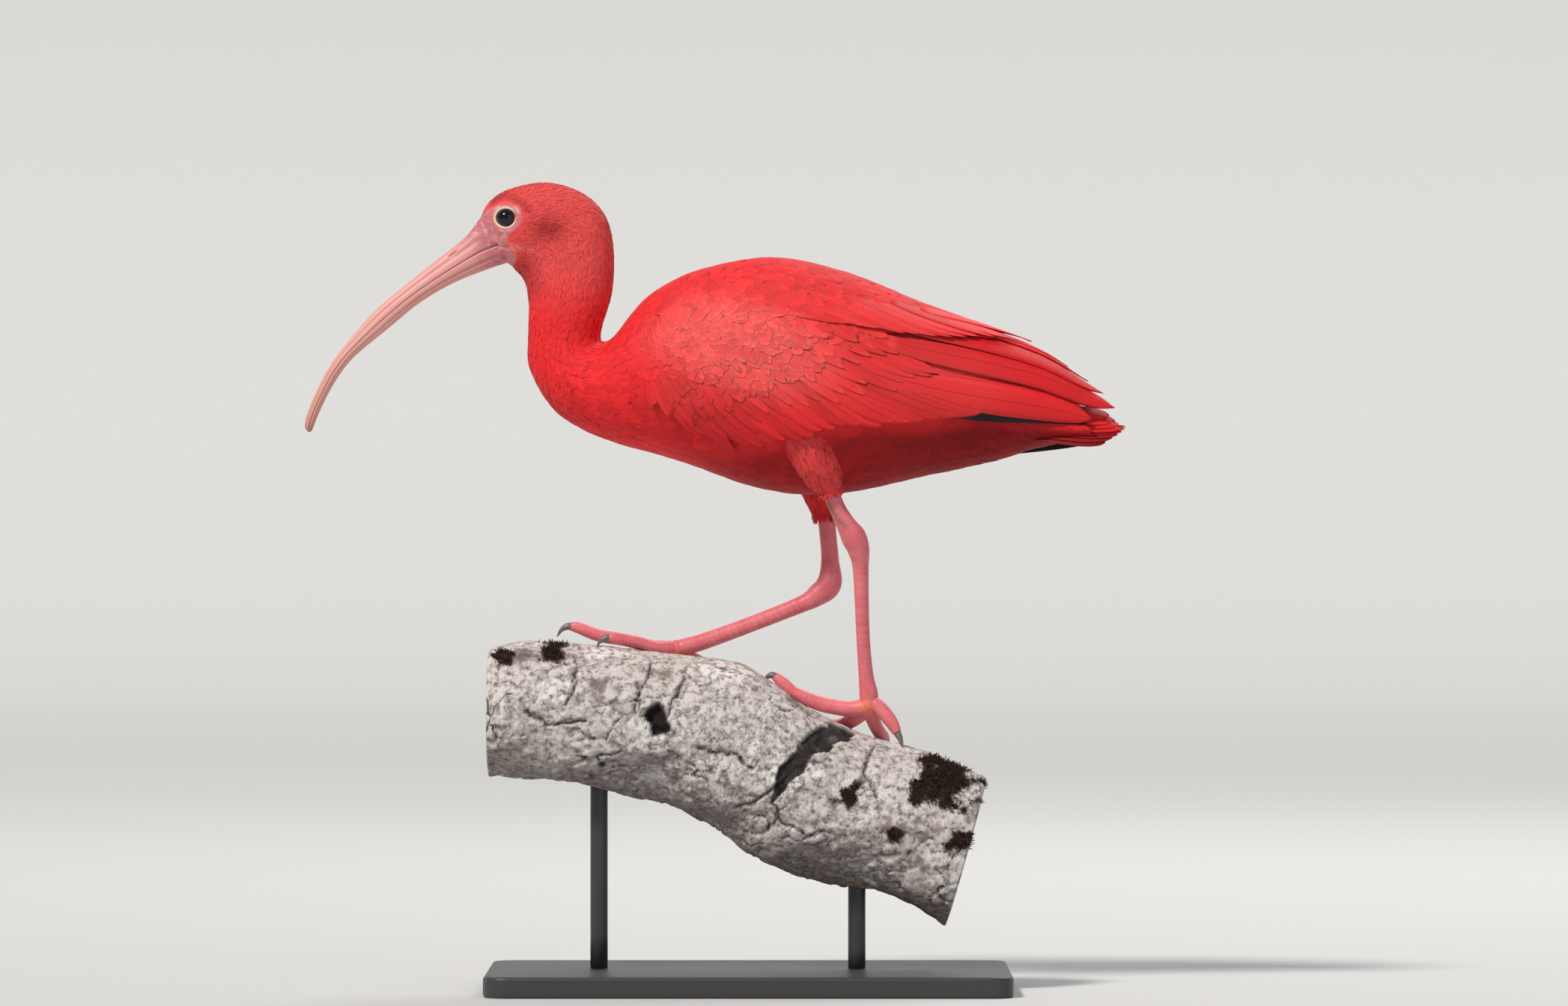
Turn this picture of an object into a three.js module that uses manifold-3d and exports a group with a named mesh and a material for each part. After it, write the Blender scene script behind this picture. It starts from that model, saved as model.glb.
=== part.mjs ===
// A scarlet ibis walking up a thick branch, as a life-size still model on a plain display stand.
// Millimetres, +Z up. The bill points to -X, the tail to +X, and the bird's left side faces -Y.
// The origin is the middle of the base's underside.
import * as THREE from "three";
import { mergeVertices } from "three/addons/utils/BufferGeometryUtils.js";
import Module from "manifold-3d";

const wasm = await Module();
wasm.setup();

// Driving dimensions
const GAP = 0.3; // left between neighbouring nodes
const CUT = 0.36; // growth of a solid that cuts its neighbour, so that GAP is left on slopes too
const WING_THICK = 9; // folded wing, from its outer feathers to the flank
const FEATHER_THICK = 0.7;
const EYE_RADIUS = 5.6;
const EYE_CENTRE = [-138.8, 10.7, 442.8]; // of the right eye; the left one mirrors it
const LID_RADIUS = 6.1;
const LID_THICK = 1.15;
const BASE_LONG = 300;
const BASE_DEEP = 190;
const BASE_THICK = 12;
const BASE_CORNER = 14;
const ROD_RADIUS = 5;
const ROD_SOCKET = 16; // how deep each rod stands in the branch
const RODS = { front: -86, rear: 62 }; // where each rod stands along X

// Finishes
const SCARLET = { color: 0xd81418, roughness: 0.7 };
const BARE_SKIN = { color: 0xd98a86, roughness: 0.5 };
const LEG_SKIN = { color: 0xd6404f, roughness: 0.45 };
const HORN = { color: 0xeab39c, roughness: 0.4 };
const CLAW = { color: 0x4a3d3a, roughness: 0.4 };
const EYE = { color: 0x120a08, roughness: 0.05 };
const BARK = { color: 0xb3aaa0, roughness: 0.9 };
const STEEL = { color: 0x2b2b2d, roughness: 0.45, metalness: 0.6 };

// Smooth value between the rows of a table, column by column; t counts rows.
function between(rows, t) {
  const last = rows.length - 1;
  const i = Math.min(Math.floor(Math.max(t, 0)), last - 1);
  const f = Math.min(Math.max(t, 0), last) - i;
  const row = (k) => rows[Math.min(Math.max(k, 0), last)];
  return row(i).map((b, c) => {
    const [a, d, e] = [row(i - 1)[c], row(i + 1)[c], row(i + 2)[c]];
    const [in1, in2] = [(d - a) / 2, (e - b) / 2];
    const [f2, f3] = [f * f, f * f * f];
    return (2 * f3 - 3 * f2 + 1) * b + (f3 - 2 * f2 + f) * in1 + (3 * f2 - 2 * f3) * d + (f3 - f2) * in2;
  });
}

// Solids
function solidOf(geometry) {
  const bare = geometry.index ? geometry.toNonIndexed() : geometry.clone();
  bare.deleteAttribute("normal");
  bare.deleteAttribute("uv");
  const merged = mergeVertices(bare, 1e-3);
  const vertProperties = Float32Array.from(merged.attributes.position.array);
  const triVerts = Uint32Array.from(merged.index.array);
  const make = () => new wasm.Manifold(new wasm.Mesh({ numProp: 3, vertProperties, triVerts }));
  const made = make();
  if (made.volume() > 0) return made;
  for (let i = 0; i < triVerts.length; i += 3) {
    [triVerts[i + 1], triVerts[i + 2]] = [triVerts[i + 2], triVerts[i + 1]];
  }
  return make();
}

// A closed solid through rings of equal count, its ends closed by fans.
function stack(rings) {
  const n = rings[0].length;
  const points = rings.flat();
  const faces = [];
  for (let r = 0; r + 1 < rings.length; r++) {
    for (let k = 0; k < n; k++) {
      const [a, b] = [r * n + k, r * n + ((k + 1) % n)];
      faces.push(a, b, b + n, a, b + n, a + n);
    }
  }
  [0, rings.length - 1].forEach((r) => {
    const centre = new THREE.Vector3();
    rings[r].forEach((p) => centre.add(p));
    points.push(centre.divideScalar(n));
    for (let k = 0; k < n; k++) {
      const [a, b] = [r * n + k, r * n + ((k + 1) % n)];
      faces.push(points.length - 1, ...(r ? [a, b] : [b, a]));
    }
  });
  const geometry = new THREE.BufferGeometry().setFromPoints(points);
  geometry.setIndex(faces);
  return solidOf(geometry);
}

// The largest closed surface of a solid, which drops loose scraps and sealed hollows.
function largest(solid) {
  return solid.decompose().sort((a, b) => b.volume() - a.volume())[0];
}

const joined = (solids) => solids.reduce((all, one) => all.add(one));

// One oval ring between a lower and an upper point of the side view, with a half width across it.
function oval(lowX, lowZ, highX, highZ, half, egg, grow, sides, y = 0) {
  const middle = new THREE.Vector3((lowX + highX) / 2, y, (lowZ + highZ) / 2);
  const up = new THREE.Vector3(highX - lowX, 0, highZ - lowZ);
  const tall = up.length() / 2 + grow;
  up.normalize();
  return Array.from({ length: sides }, (_, k) => {
    const turn = ((k + 0.5) / sides) * 2 * Math.PI;
    const [s, c] = [Math.cos(turn), Math.sin(turn)];
    const point = middle.clone().addScaledVector(up, tall * s);
    point.y += (half + grow) * c * (1 + egg * s);
    return point;
  });
}

// A round limb along points [x, y, z, radius], smooth between them.
function limb(rows, steps, sides, grow = 0) {
  const at = (t) => between(rows, t);
  const across = new THREE.Vector3();
  const rings = [];
  for (let i = 0; i <= steps; i++) {
    const t = (i / steps) * (rows.length - 1);
    const [x, y, z, radius] = at(t);
    const [ahead, behind] = [at(t + 0.05), at(t - 0.05)];
    const along = new THREE.Vector3(ahead[0] - behind[0], ahead[1] - behind[1], ahead[2] - behind[2]).normalize();
    if (!i) across.set(0, 1, 0);
    across.addScaledVector(along, -across.dot(along)).normalize();
    const third = new THREE.Vector3().crossVectors(along, across);
    rings.push(
      Array.from({ length: sides }, (_, k) => {
        const turn = (k / sides) * 2 * Math.PI;
        return new THREE.Vector3(x, y, z)
          .addScaledVector(across, (radius + grow) * Math.cos(turn))
          .addScaledVector(third, (radius + grow) * Math.sin(turn));
      }),
    );
  }
  return stack(rings);
}

// A side view outline [x, z], made a slab from y0 to y1.
function slab(outline, y0, y1, steps) {
  const curve = new THREE.SplineCurve(outline.map(([x, z]) => new THREE.Vector2(x, z)));
  const shape = new THREE.Shape(steps ? curve.getPoints(steps) : curve.points);
  const geometry = new THREE.ExtrudeGeometry(shape, { depth: y1 - y0, bevelEnabled: false, steps: 1 });
  geometry.rotateX(Math.PI / 2);
  geometry.translate(0, y1, 0);
  return solidOf(geometry);
}

function box(x0, x1, y0, y1, z0, z1) {
  const geometry = new THREE.BoxGeometry(x1 - x0, y1 - y0, z1 - z0);
  return solidOf(geometry.translate((x0 + x1) / 2, (y0 + y1) / 2, (z0 + z1) / 2));
}

function ball(x, y, z, radius, wide = 14, high = 10) {
  return solidOf(new THREE.SphereGeometry(radius, wide, high).translate(x, y, z));
}

const ibis = new THREE.Group();
function node(name, solid, finish) {
  const mesh = solid.getMesh();
  const geometry = new THREE.BufferGeometry();
  geometry.setAttribute("position", new THREE.BufferAttribute(Float32Array.from(mesh.vertProperties), 3));
  geometry.setIndex(Array.from(mesh.triVerts));
  const made = new THREE.Mesh(geometry, new THREE.MeshStandardMaterial(finish));
  made.name = name;
  ibis.add(made);
}

// Skin of the head, neck and torso: underside X and Z, upper side X and Z, half width, egg
const BODY = [
  [-138.2, 417.2, -154.2, 443.2, 8.8, 0],
  [-135.6, 414.9, -149.6, 452.2, 12.2, 0.06],
  [-133.7, 412.6, -138.4, 459.8, 15, 0.1],
  [-131.6, 410.4, -117, 464, 17, 0.12],
  [-129.9, 408, -96.8, 458.8, 17.6, 0.1],
  [-128.4, 404.5, -83, 446.6, 18, 0.06],
  [-127.6, 400, -77.2, 428, 18, 0],
  [-127, 391, -77.6, 402, 18.4, 0],
  [-127.4, 375, -83.4, 381, 19.5, 0],
  [-126.6, 357, -84, 372.8, 21.5, 0],
  [-114, 334.1, -78.8, 374.2, 26, 0],
  [-96.8, 321.2, -73.6, 380.4, 31, 0],
  [-75.2, 312.4, -67.2, 389.4, 37.5, 0],
  [-53.8, 306.4, -57.4, 400, 43, 0],
  [-30.1, 299, -40.2, 410.4, 47.5, 0],
  [-4.3, 289.6, -16.6, 418, 50.5, 0],
  [21.5, 284, 13, 421.4, 51.5, 0],
  [47.3, 283.4, 42, 416.4, 50, 0],
  [73.1, 287.4, 70, 405.6, 45.5, 0],
  [98.9, 293.6, 97, 389, 39, 0],
  [122.5, 298.4, 121, 370, 31, 0],
  [143, 304.6, 143, 351, 23, 0],
  [160, 310.5, 160, 338, 16, 0],
];
const BODY_SIDES = 22;
const [HEAD_END, NECK_MIDDLE, NECK_END, TORSO_END] = [5.6, 9, 12, 20.6]; // rows of BODY where it is parted
const SEAM = 0.0085; // rows on each side of a parting, which leaves about GAP

function body(from, to, rings, grow = 0) {
  return stack(
    Array.from({ length: rings + 1 }, (_, i) => {
      const [lx, lz, hx, hz, half, egg] = between(BODY, from + ((to - from) * i) / rings);
      return oval(lx, lz, hx, hz, half, egg, grow, BODY_SIDES);
    }),
  );
}

// Branch: underside X and Z, upper side X and Z, half width. The bark swells and dips a little round it.
const BRANCH = [
  [-150, 123, -149.5, 196, 38],
  [-133, 120.4, -128, 200.8, 40],
  [-94.6, 117.8, -86, 198.2, 40],
  [-56.8, 111, -41.3, 193, 40.5],
  [-32.2, 98, -6.4, 188.4, 42],
  [-10.8, 86, 15, 176.3, 43],
  [12.9, 72.2, 36.6, 161.2, 42],
  [45.2, 62.8, 69.2, 146.2, 40],
  [77.4, 52.5, 103.2, 137.2, 40],
  [112.7, 36.1, 136.7, 122.1, 39],
];
const BRANCH_SIDES = 18;
function branch(rings, grow = 0) {
  return stack(
    Array.from({ length: rings + 1 }, (_, i) => {
      const t = (i / rings) * (BRANCH.length - 1);
      const [lx, lz, hx, hz, half] = between(BRANCH, t);
      const ring = oval(lx, lz, hx, hz, half, 0, grow, BRANCH_SIDES);
      const middle = new THREE.Vector3((lx + hx) / 2, 0, (lz + hz) / 2);
      return ring.map((p, k) => {
        const turn = ((k + 0.5) / BRANCH_SIDES) * 2 * Math.PI;
        const low = (1 - Math.cos(turn)) / 2; // 0 on top, where the feet stand, and 1 below
        const swell = 0.05 * Math.sin(3 * turn + 1.7 * t) + 0.03 * Math.sin(5 * turn - 2.9 * t);
        return p.sub(middle).multiplyScalar(1 + low * swell).add(middle);
      });
    }),
  );
}

const branchCut = branch(20, CUT);
const torsoCut = body(NECK_END - 0.5, BODY.length - 1, 20, CUT);

// Wings
// Outer surface of the folded wings: X, underside Z, upper side Z, half width
const WING_HULL = [
  [-66.7, 308, 390, 38],
  [-52, 304, 404, 49.5],
  [-30, 297, 416, 55],
  [13, 283, 424, 59],
  [56, 282, 415.5, 57.5],
  [99, 290, 398.5, 50],
  [133, 299, 386, 39.5],
  [168, 308, 372, 26.5],
  [194, 313, 356, 17],
  [222, 317, 342, 10],
];
const WING_SIDES = 20;
// The hull's section at X as [middle Z, half height, half width]
function hullAt(x) {
  let [low, high] = [0, WING_HULL.length - 1];
  for (let i = 0; i < 24; i++) {
    const mid = (low + high) / 2;
    if (between(WING_HULL, mid)[0] < x) low = mid;
    else high = mid;
  }
  const [, under, upper, half] = between(WING_HULL, low);
  return [(under + upper) / 2, (upper - under) / 2, half];
}
// A point of the hull at X and a turn from its top, raised from it by some lift
function onHull(x, turn, lift) {
  const [z, tall, half] = hullAt(x);
  const [s, c] = [Math.sin(turn), Math.cos(turn)];
  const out = new THREE.Vector3(0, s / half, c / tall).normalize();
  return new THREE.Vector3(x, half * s, z + tall * c).addScaledVector(out, lift);
}
function turnAt(x, z) {
  const [middle, tall] = hullAt(x);
  return Math.acos(Math.min(Math.max((z - middle) / tall, -1), 1));
}
function wingHull(inset) {
  const rings = 12;
  return stack(
    Array.from({ length: rings + 1 }, (_, i) => {
      const [x, low, high, half] = between(WING_HULL, (i / rings) * (WING_HULL.length - 1));
      return oval(x, low, x, high, half, 0, -Math.min(inset, half - 2), WING_SIDES);
    }),
  );
}
// Side view outline of the part of the left wing that carries the vanes
const WING_CORE = [
  [-60, 372],
  [-55, 387],
  [-43, 395],
  [-15, 400.5],
  [25, 403],
  [60, 403],
  [84, 401],
  [112, 391],
  [138, 379],
  [160, 362],
  [176, 346],
  [172, 335],
  [150, 333],
  [124, 338],
  [98, 334],
  [72, 330],
  [46, 325],
  [24, 320],
  [2, 319],
  [-12, 313],
  [-24, 311],
  [-34, 316],
  [-44, 328],
  [-54, 346],
];

// Side view outline of its thicker forward part, in which the coverts are rooted
const WING_SHOULDER = [
  [-62, 368],
  [-56, 388],
  [-43, 396.5],
  [-15, 402],
  [25, 407],
  [62, 409],
  [88, 402],
  [84, 380],
  [60, 362],
  [28, 348],
  [-4, 337],
  [-26, 326],
  [-42, 329],
  [-54, 346],
];

// Share of a vane's full width along it
const VANE = [[0, 0.7], [0.45, 1], [0.86, 0.84], [1, 0.24]];
// A flat feather on the wing hull, from root to tip in the side view [x, z]. Its lower edge stands up
// over the next feather below, and its upper edge lies under the next one above.
function wingVane(root, tip, width, level, tilt, side) {
  const [rootTurn, tipTurn] = [turnAt(...root), turnAt(...tip)];
  const centre = (u) => onHull(root[0] + (tip[0] - root[0]) * u, rootTurn + (tipTurn - rootTurn) * u, 0);
  const along = centre(1).sub(centre(0)).normalize();
  return stack(
    VANE.map(([u, share]) => {
      const at = centre(u);
      const [z, tall, half] = hullAt(at.x);
      const out = new THREE.Vector3(0, at.y / half ** 2, (at.z - z) / tall ** 2).normalize();
      const across = new THREE.Vector3().crossVectors(out, along).normalize();
      if (across.z > 0) across.negate();
      const lift = level[0] + (level[1] - level[0]) * Math.min(u * 1.6, 1);
      const corners = [[-1, 0], [1, 0], [1, 1], [-1, 1]].map(([edge, inner]) => {
        const p = at.clone().addScaledVector(across, (edge * share * width) / 2);
        const [pz, pTall, pHalf] = hullAt(p.x);
        const turn = Math.max(Math.atan2(p.y / pHalf, (p.z - pz) / pTall), 0.02);
        const q = onHull(p.x, turn, lift + edge * tilt * share - inner * FEATHER_THICK);
        q.y *= side;
        return q;
      });
      return side > 0 ? corners : corners.reverse();
    }),
  );
}
// Rows of feathers. Roots and tips run along two smooth lines [x, z] from the first feather to the last.
const WING_ROWS = {
  primaries: {
    count: 6,
    roots: [[100, 341], [102, 348], [106, 356]],
    tips: [[184, 325.5], [200, 329.5], [208, 336], [196, 341.5], [182, 348]],
    width: [7, 8],
    level: [-4.6, -2],
    tilt: 0.8,
  },
  secondaries: {
    count: 8,
    roots: [[-24, 331], [12, 341], [46, 352], [78, 363]],
    tips: [[26, 314.4], [60, 322.2], [86, 324.8], [110, 328.6], [134, 334]],
    width: [10, 11],
    level: [-4.4, -1.6],
    tilt: 0.8,
  },
  tertials: {
    count: 4,
    roots: [[80, 366], [76, 374], [74, 383]],
    tips: [[154, 341], [168, 346], [174, 354], [156, 367]],
    width: [12, 12],
    level: [-3, 1.2],
    tilt: 0.7,
  },
  coverts: {
    count: 7,
    roots: [[-44, 337], [-14, 346], [18, 355], [48, 367]],
    tips: [[-8, 322], [26, 333], [56, 344], [86, 359]],
    width: [13, 13],
    level: [-3.4, 0.9],
    tilt: 0.6,
  },
  scapulars: {
    count: 3,
    roots: [[62, 391], [72, 396], [84, 402]],
    tips: [[108, 379], [126, 382], [140, 382.5]],
    width: [12, 11],
    level: [-3, 2.4],
    tilt: 0.5,
  },
};
function line(points, share) {
  return between(points, share * (points.length - 1));
}
function wingVanes(side) {
  return Object.values(WING_ROWS).flatMap(({ count, roots, tips, width, level, tilt }) =>
    Array.from({ length: count }, (_, i) => {
      const share = i / (count - 1);
      return wingVane(line(roots, share), line(tips, share), line(width.map((w) => [w]), share)[0], level, tilt, side);
    }),
  );
}
const CORE_INSET = 3.2; // how far the core lies under the hull
const SHOULDER_INSET = 1.2; // and its thicker forward part
function wing(side) {
  const y = [side * GAP * 0.6, side * 80].sort((a, b) => a - b);
  const shell = wingHull(CORE_INSET).subtract(wingHull(WING_THICK));
  const core = shell.intersect(slab(WING_CORE, y[0], y[1], 22));
  const upper = wingHull(SHOULDER_INSET).subtract(wingHull(WING_THICK));
  const shoulder = upper.intersect(slab(WING_SHOULDER, y[0], y[1], 20));
  const half = box(-100, 260, y[0], y[1], 260, 440);
  return joined([core, shoulder, ...wingVanes(side)]).intersect(half);
}

// Tail: its covered root as X, underside Z, upper side Z, half width, and the fan of tail feathers
const TAIL = [
  [130, 300.4, 363, 29],
  [143, 304.2, 350.4, 23],
  [160, 309, 342, 19],
  [176, 312.6, 332, 15],
  [188, 315.4, 324.5, 10],
];
const TAIL_FEATHERS = {
  count: 12, // from the outermost on one side, over the middle, to the outermost on the other
  root: [158, 6.5, 323.5, 3.6], // X, spread across, Z of the middle ones, drop of the outermost ones
  tip: [214, 15.5, 319.5, 4.2],
  shorter: 7, // how much the outermost ones are shorter
  width: 15,
  layer: 1.05, // height between one feather and the next
};
function tailRoot(grow = 0) {
  const rings = 7;
  return stack(
    Array.from({ length: rings + 1 }, (_, i) => {
      const [x, low, high, half] = between(TAIL, (i / rings) * (TAIL.length - 1));
      return oval(x, low, x, high, half, 0, grow, 14);
    }),
  );
}
function tailFan(grow = 0) {
  const { count, root, tip, shorter, width, layer } = TAIL_FEATHERS;
  return Array.from({ length: count }, (_, i) => {
    const spread = (2 * i) / (count - 1) - 1;
    const outer = Math.abs(spread);
    const level = -Math.floor((count - 1) * outer) * layer * 0.5 + (spread > 0 ? layer / 2 : 0);
    const from = new THREE.Vector3(root[0], root[1] * spread, root[2] - root[3] * outer ** 2 + level);
    const to = new THREE.Vector3(tip[0] - shorter * outer ** 2, tip[1] * spread, tip[2] - tip[3] * outer ** 2 + level * 0.8);
    return stack(
      VANE.map(([u, share]) => {
        const at = from.clone().lerp(to, u);
        const w = (width * share) / 2 + grow;
        const up = FEATHER_THICK / 2 + grow;
        return [[-w, up], [w, up], [w, -up], [-w, -up]].map(
          ([y, z]) => new THREE.Vector3(at.x + (u === 1 ? grow : 0), at.y + y, at.z + z - 0.1 * y * spread),
        );
      }),
    );
  });
}
const tailGrown = joined([tailRoot(CUT), ...tailFan(CUT)]);
const behindTorso = box(between(BODY, TORSO_END)[0] + GAP, 260, -60, 60, 280, 400);
const leftWing = wing(-1).subtract(torsoCut).subtract(tailGrown);
const rightWing = wing(1).subtract(torsoCut).subtract(tailGrown);
node("torso", body(NECK_END + SEAM, TORSO_END, 18), SCARLET);
node("wing_left", largest(leftWing), SCARLET);
node("wing_right", largest(rightWing), SCARLET);
node("tail", largest(joined([tailRoot(), ...tailFan()]).intersect(behindTorso)), SCARLET);

// Neck
node("neck_upper", body(HEAD_END + SEAM, NECK_MIDDLE - SEAM, 8), SCARLET);
node("neck_lower", body(NECK_MIDDLE + SEAM, NECK_END - SEAM, 7), SCARLET);

// Head, with a socket and a ring of lid round each eye
const eyeSides = [-1, 1];
const eyeAt = (side, radius) => ball(EYE_CENTRE[0], side * EYE_CENTRE[1], EYE_CENTRE[2], radius);
function lid(side) {
  const rim = new THREE.TorusGeometry(LID_RADIUS, LID_THICK, 6, 16);
  rim.rotateX(Math.PI / 2);
  rim.rotateZ(side * 0.24);
  const reach = EYE_CENTRE[1] + 3.6;
  return solidOf(rim.translate(EYE_CENTRE[0] - 0.9, side * reach, EYE_CENTRE[2]));
}
let head = body(0, HEAD_END - SEAM, 11);
for (const side of eyeSides) head = head.add(lid(side));
for (const side of eyeSides) head = head.subtract(eyeAt(side, EYE_RADIUS + GAP));
node("head", largest(head), SCARLET);
node("eye_left", eyeAt(-1, EYE_RADIUS), EYE);
node("eye_right", eyeAt(1, EYE_RADIUS), EYE);

// Bill: top X and Z, mouth line X and Z, underside X and Z, half width
const BILL = [
  [-154.6, 442.8, -144.8, 427, -138.2, 417.6, 8.6],
  [-163.4, 431.7, -156.1, 422.3, -150.1, 413.7, 7.6],
  [-180.6, 418, -175.4, 410.7, -170.3, 405.5, 5.9],
  [-197.8, 404.2, -193.1, 398.6, -189.2, 394.3, 5],
  [-215, 389.6, -210.3, 384.4, -206, 380.6, 4.5],
  [-232.2, 369.8, -228.8, 366.8, -225.3, 364.6, 4],
  [-240.8, 357.8, -237.8, 355.6, -234.4, 353.9, 3.7],
  [-247.3, 345.7, -244.2, 344, -241.2, 342.7, 3.4],
  [-252.4, 334.1, -249.4, 332.8, -246.4, 332, 3.1],
  [-255, 324.2, -252.4, 323.8, -249.4, 324.7, 2.5],
  [-253.3, 320.4, -252.4, 320.2, -251, 320.8, 1.1],
];
const MOUTH = GAP / 2; // each half of the bill stops this far from the mouth line
const FACE_GAP = 0.035; // rows of BILL between the face and the bill
// Half a bill: outline of one section as [across, away from the mouth line], each as a share
const HALF_BILL = [
  [1, 0],
  [1, 0.22],
  [0.9, 0.4],
  [0.94, 0.52],
  [0.78, 0.78],
  [0.42, 0.96],
];
function billHalf(column, rings) {
  return stack(
    Array.from({ length: rings + 1 }, (_, i) => {
      const t = FACE_GAP + (i / rings) * (BILL.length - 1 - FACE_GAP);
      const row = between(BILL, t);
      const mouth = new THREE.Vector3(row[2], 0, row[3]);
      const edge = new THREE.Vector3(row[column], 0, row[column + 1]).sub(mouth);
      const deep = edge.length();
      edge.normalize();
      const points = [...HALF_BILL, [0, 1], ...HALF_BILL.map(([a, b]) => [-a, b]).reverse(), [0, 0]];
      return points.map(([a, b]) => {
        const point = mouth.clone().addScaledVector(edge, MOUTH + b * (deep - MOUTH));
        point.y = a * row[6];
        return point;
      });
    }),
  );
}
const NOSTRIL = { at: [-169.4, 5.6, 422.6], long: 6, high: 1.2, deep: 2.2, slope: 0.7 };
function nostril(side) {
  const slit = new THREE.SphereGeometry(1, 12, 8).scale(NOSTRIL.long / 2, NOSTRIL.deep, NOSTRIL.high / 2);
  slit.rotateY(-NOSTRIL.slope);
  return solidOf(slit.translate(NOSTRIL.at[0], side * NOSTRIL.at[1], NOSTRIL.at[2]));
}
let upperBill = billHalf(0, 14);
for (const side of eyeSides) upperBill = upperBill.subtract(nostril(side));
node("upper_bill", largest(upperBill), HORN);
node("lower_bill", billHalf(4, 14), HORN);

// Legs, each along points X, Y, Z, radius. The far leg is bent forward for its next step.
const LEGS = {
  left: {
    thigh: [
      [26, -30, 326, 17],
      [36, -29, 310, 15],
      [42, -26.5, 297, 12],
      [46.5, -24, 287, 7.5],
    ],
    shin: [
      [45.6, -24, 289, 5],
      [50.5, -22, 277, 4.8],
      [55.5, -20, 267.5, 6],
      [60, -18.5, 260, 7],
    ],
    tarsus: [
      [60, -18.5, 260, 7],
      [62.6, -17, 252, 5.8],
      [64.2, -14.8, 240, 4.5],
      [65.4, -10, 205, 4],
      [67.2, -5.5, 181, 4.4],
      [68.8, -4, 170, 5.6],
      [69, -3.8, 164.5, 5.4],
    ],
  },
  right: {
    thigh: [
      [30, 30, 322, 17],
      [36, 29, 304, 15],
      [41, 27, 289, 12],
      [44.5, 25, 273, 7.8],
    ],
    shin: [
      [44.2, 25, 275, 5.2],
      [45.5, 23.5, 262, 4.9],
      [46.8, 22, 246, 5.2],
      [46.4, 21, 232, 7],
    ],
    tarsus: [
      [46.4, 21, 232, 7],
      [40, 20.4, 226.4, 6.2],
      [30, 19.2, 221, 4.8],
      [0, 15, 209.2, 4.6],
      [-26, 11.4, 199.8, 4.8],
      [-38, 10.2, 196.6, 4.8],
      [-42, 10, 195.6, 4.4],
    ],
  },
};
const FOOT_JOINT = 5.2; // rows of a tarsus where the foot starts
const SEAT = 0.03; // rows on each side of a joint, which leaves about GAP

function part(rows, from, to, steps, sides, grow = 0) {
  const cut = Array.from({ length: steps + 1 }, (_, i) => between(rows, from + ((to - from) * i) / steps));
  return limb(cut, steps, sides, grow);
}

// Toes, each along points X, Y, Z, radius, ending where the claw starts, and the claw's tip X, Y, Z
const TOES = {
  left: {
    outer: [
      [[69, -3.8, 163, 5], [59.3, -3.6, 161.2, 4.6], [49.9, -3, 162.3, 4.4], [39.6, -2.4, 164.7, 4.3],
        [25.8, -1.6, 170.7, 3.7], [19.4, -1.2, 176.3, 3.5], [15, -1, 180.2, 2.5]],
      [7.6, -0.8, 175.6],
    ],
    middle: [
      [[69, -3.8, 163, 5], [62, 3, 156.4, 4.3], [53.5, 12, 151.5, 4], [46, 21, 150.6, 3.7],
        [39.5, 29, 146.8, 3.4], [35.8, 35, 140.2, 2.5]],
      [33.4, 38.6, 132.8],
    ],
    inner: [
      [[69, -3.8, 163, 5], [72, 4.5, 153.4, 4], [75.2, 13, 147.2, 3.8], [77.6, 22, 144, 3.5], [78.8, 29, 138.8, 2.5]],
      [79, 33.4, 132],
    ],
    hind: [
      [[69, -3.8, 166, 4.6], [75.4, -6, 161.6, 4.2], [81.2, -8, 154.6, 3.9], [85, -9.4, 148, 2.7]],
      [88.2, -10.6, 139.4],
    ],
  },
  right: {
    middle: [
      [[-42, 10, 195.8, 4.4], [-56, 9.6, 197, 3.7], [-71, 9.2, 200.6, 3.6], [-86, 8.8, 203.2, 3.6],
        [-97, 8.4, 207.4, 3.4], [-102.4, 8.2, 208.6, 2.5]],
      [-110.2, 8, 202.6],
    ],
    inner: [
      [[-42, 10, 195.8, 4.4], [-53, 4, 196.4, 3.6], [-64, -0.5, 199.6, 3.5], [-75.6, -3.4, 201.6, 3.4],
        [-80.4, -4.2, 202.2, 2.4]],
      [-87, -5.2, 197.4],
    ],
    outer: [
      [[-42, 10, 195.8, 4.4], [-50, 17, 193.6, 3.7], [-59, 24, 191.6, 3.5], [-68, 30, 187, 3.4], [-75, 34.4, 180.6, 2.5]],
      [-79, 37.4, 172.8],
    ],
    hind: [
      [[-42, 10, 196, 4.2], [-34, 15, 190.8, 3.9], [-26.4, 20.4, 186.4, 3.6], [-21.4, 25, 181.2, 2.5]],
      [-18.8, 28.6, 173.6],
    ],
  },
};
const CLAW_RADII = [[0, 2.2], [0.08, 2.2], [0.35, 1.9], [0.7, 1.3], [1, 0.5]]; // way along it, radius
const ballOfFoot = { left: [69, -3.8, 164.4, 6], right: [-41.5, 10, 196, 5.2] };

// A claw goes on from the end of its toe and bends down to its tip.
function claw(path, tip) {
  const last = path.length - 1;
  const end = new THREE.Vector3(...path[last]);
  const along = end.clone().sub(new THREE.Vector3(...between(path, last - 0.05))).normalize();
  const start = end.clone().addScaledVector(along, 1.4 * GAP);
  const goal = new THREE.Vector3(...tip);
  const bend = start.clone().addScaledVector(along, start.distanceTo(goal) * 0.5);
  const curve = new THREE.QuadraticBezierCurve3(start, bend, goal);
  return limb(CLAW_RADII.map(([way, radius]) => [...curve.getPoint(way).toArray(), radius]), 5, 7);
}

// The round knob of the ankle, at the top of the tarsus
const ankle = (leg, grow) => ball(...leg.tarsus[0].slice(0, 3), leg.tarsus[0][3] + grow, 10, 6);

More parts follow.
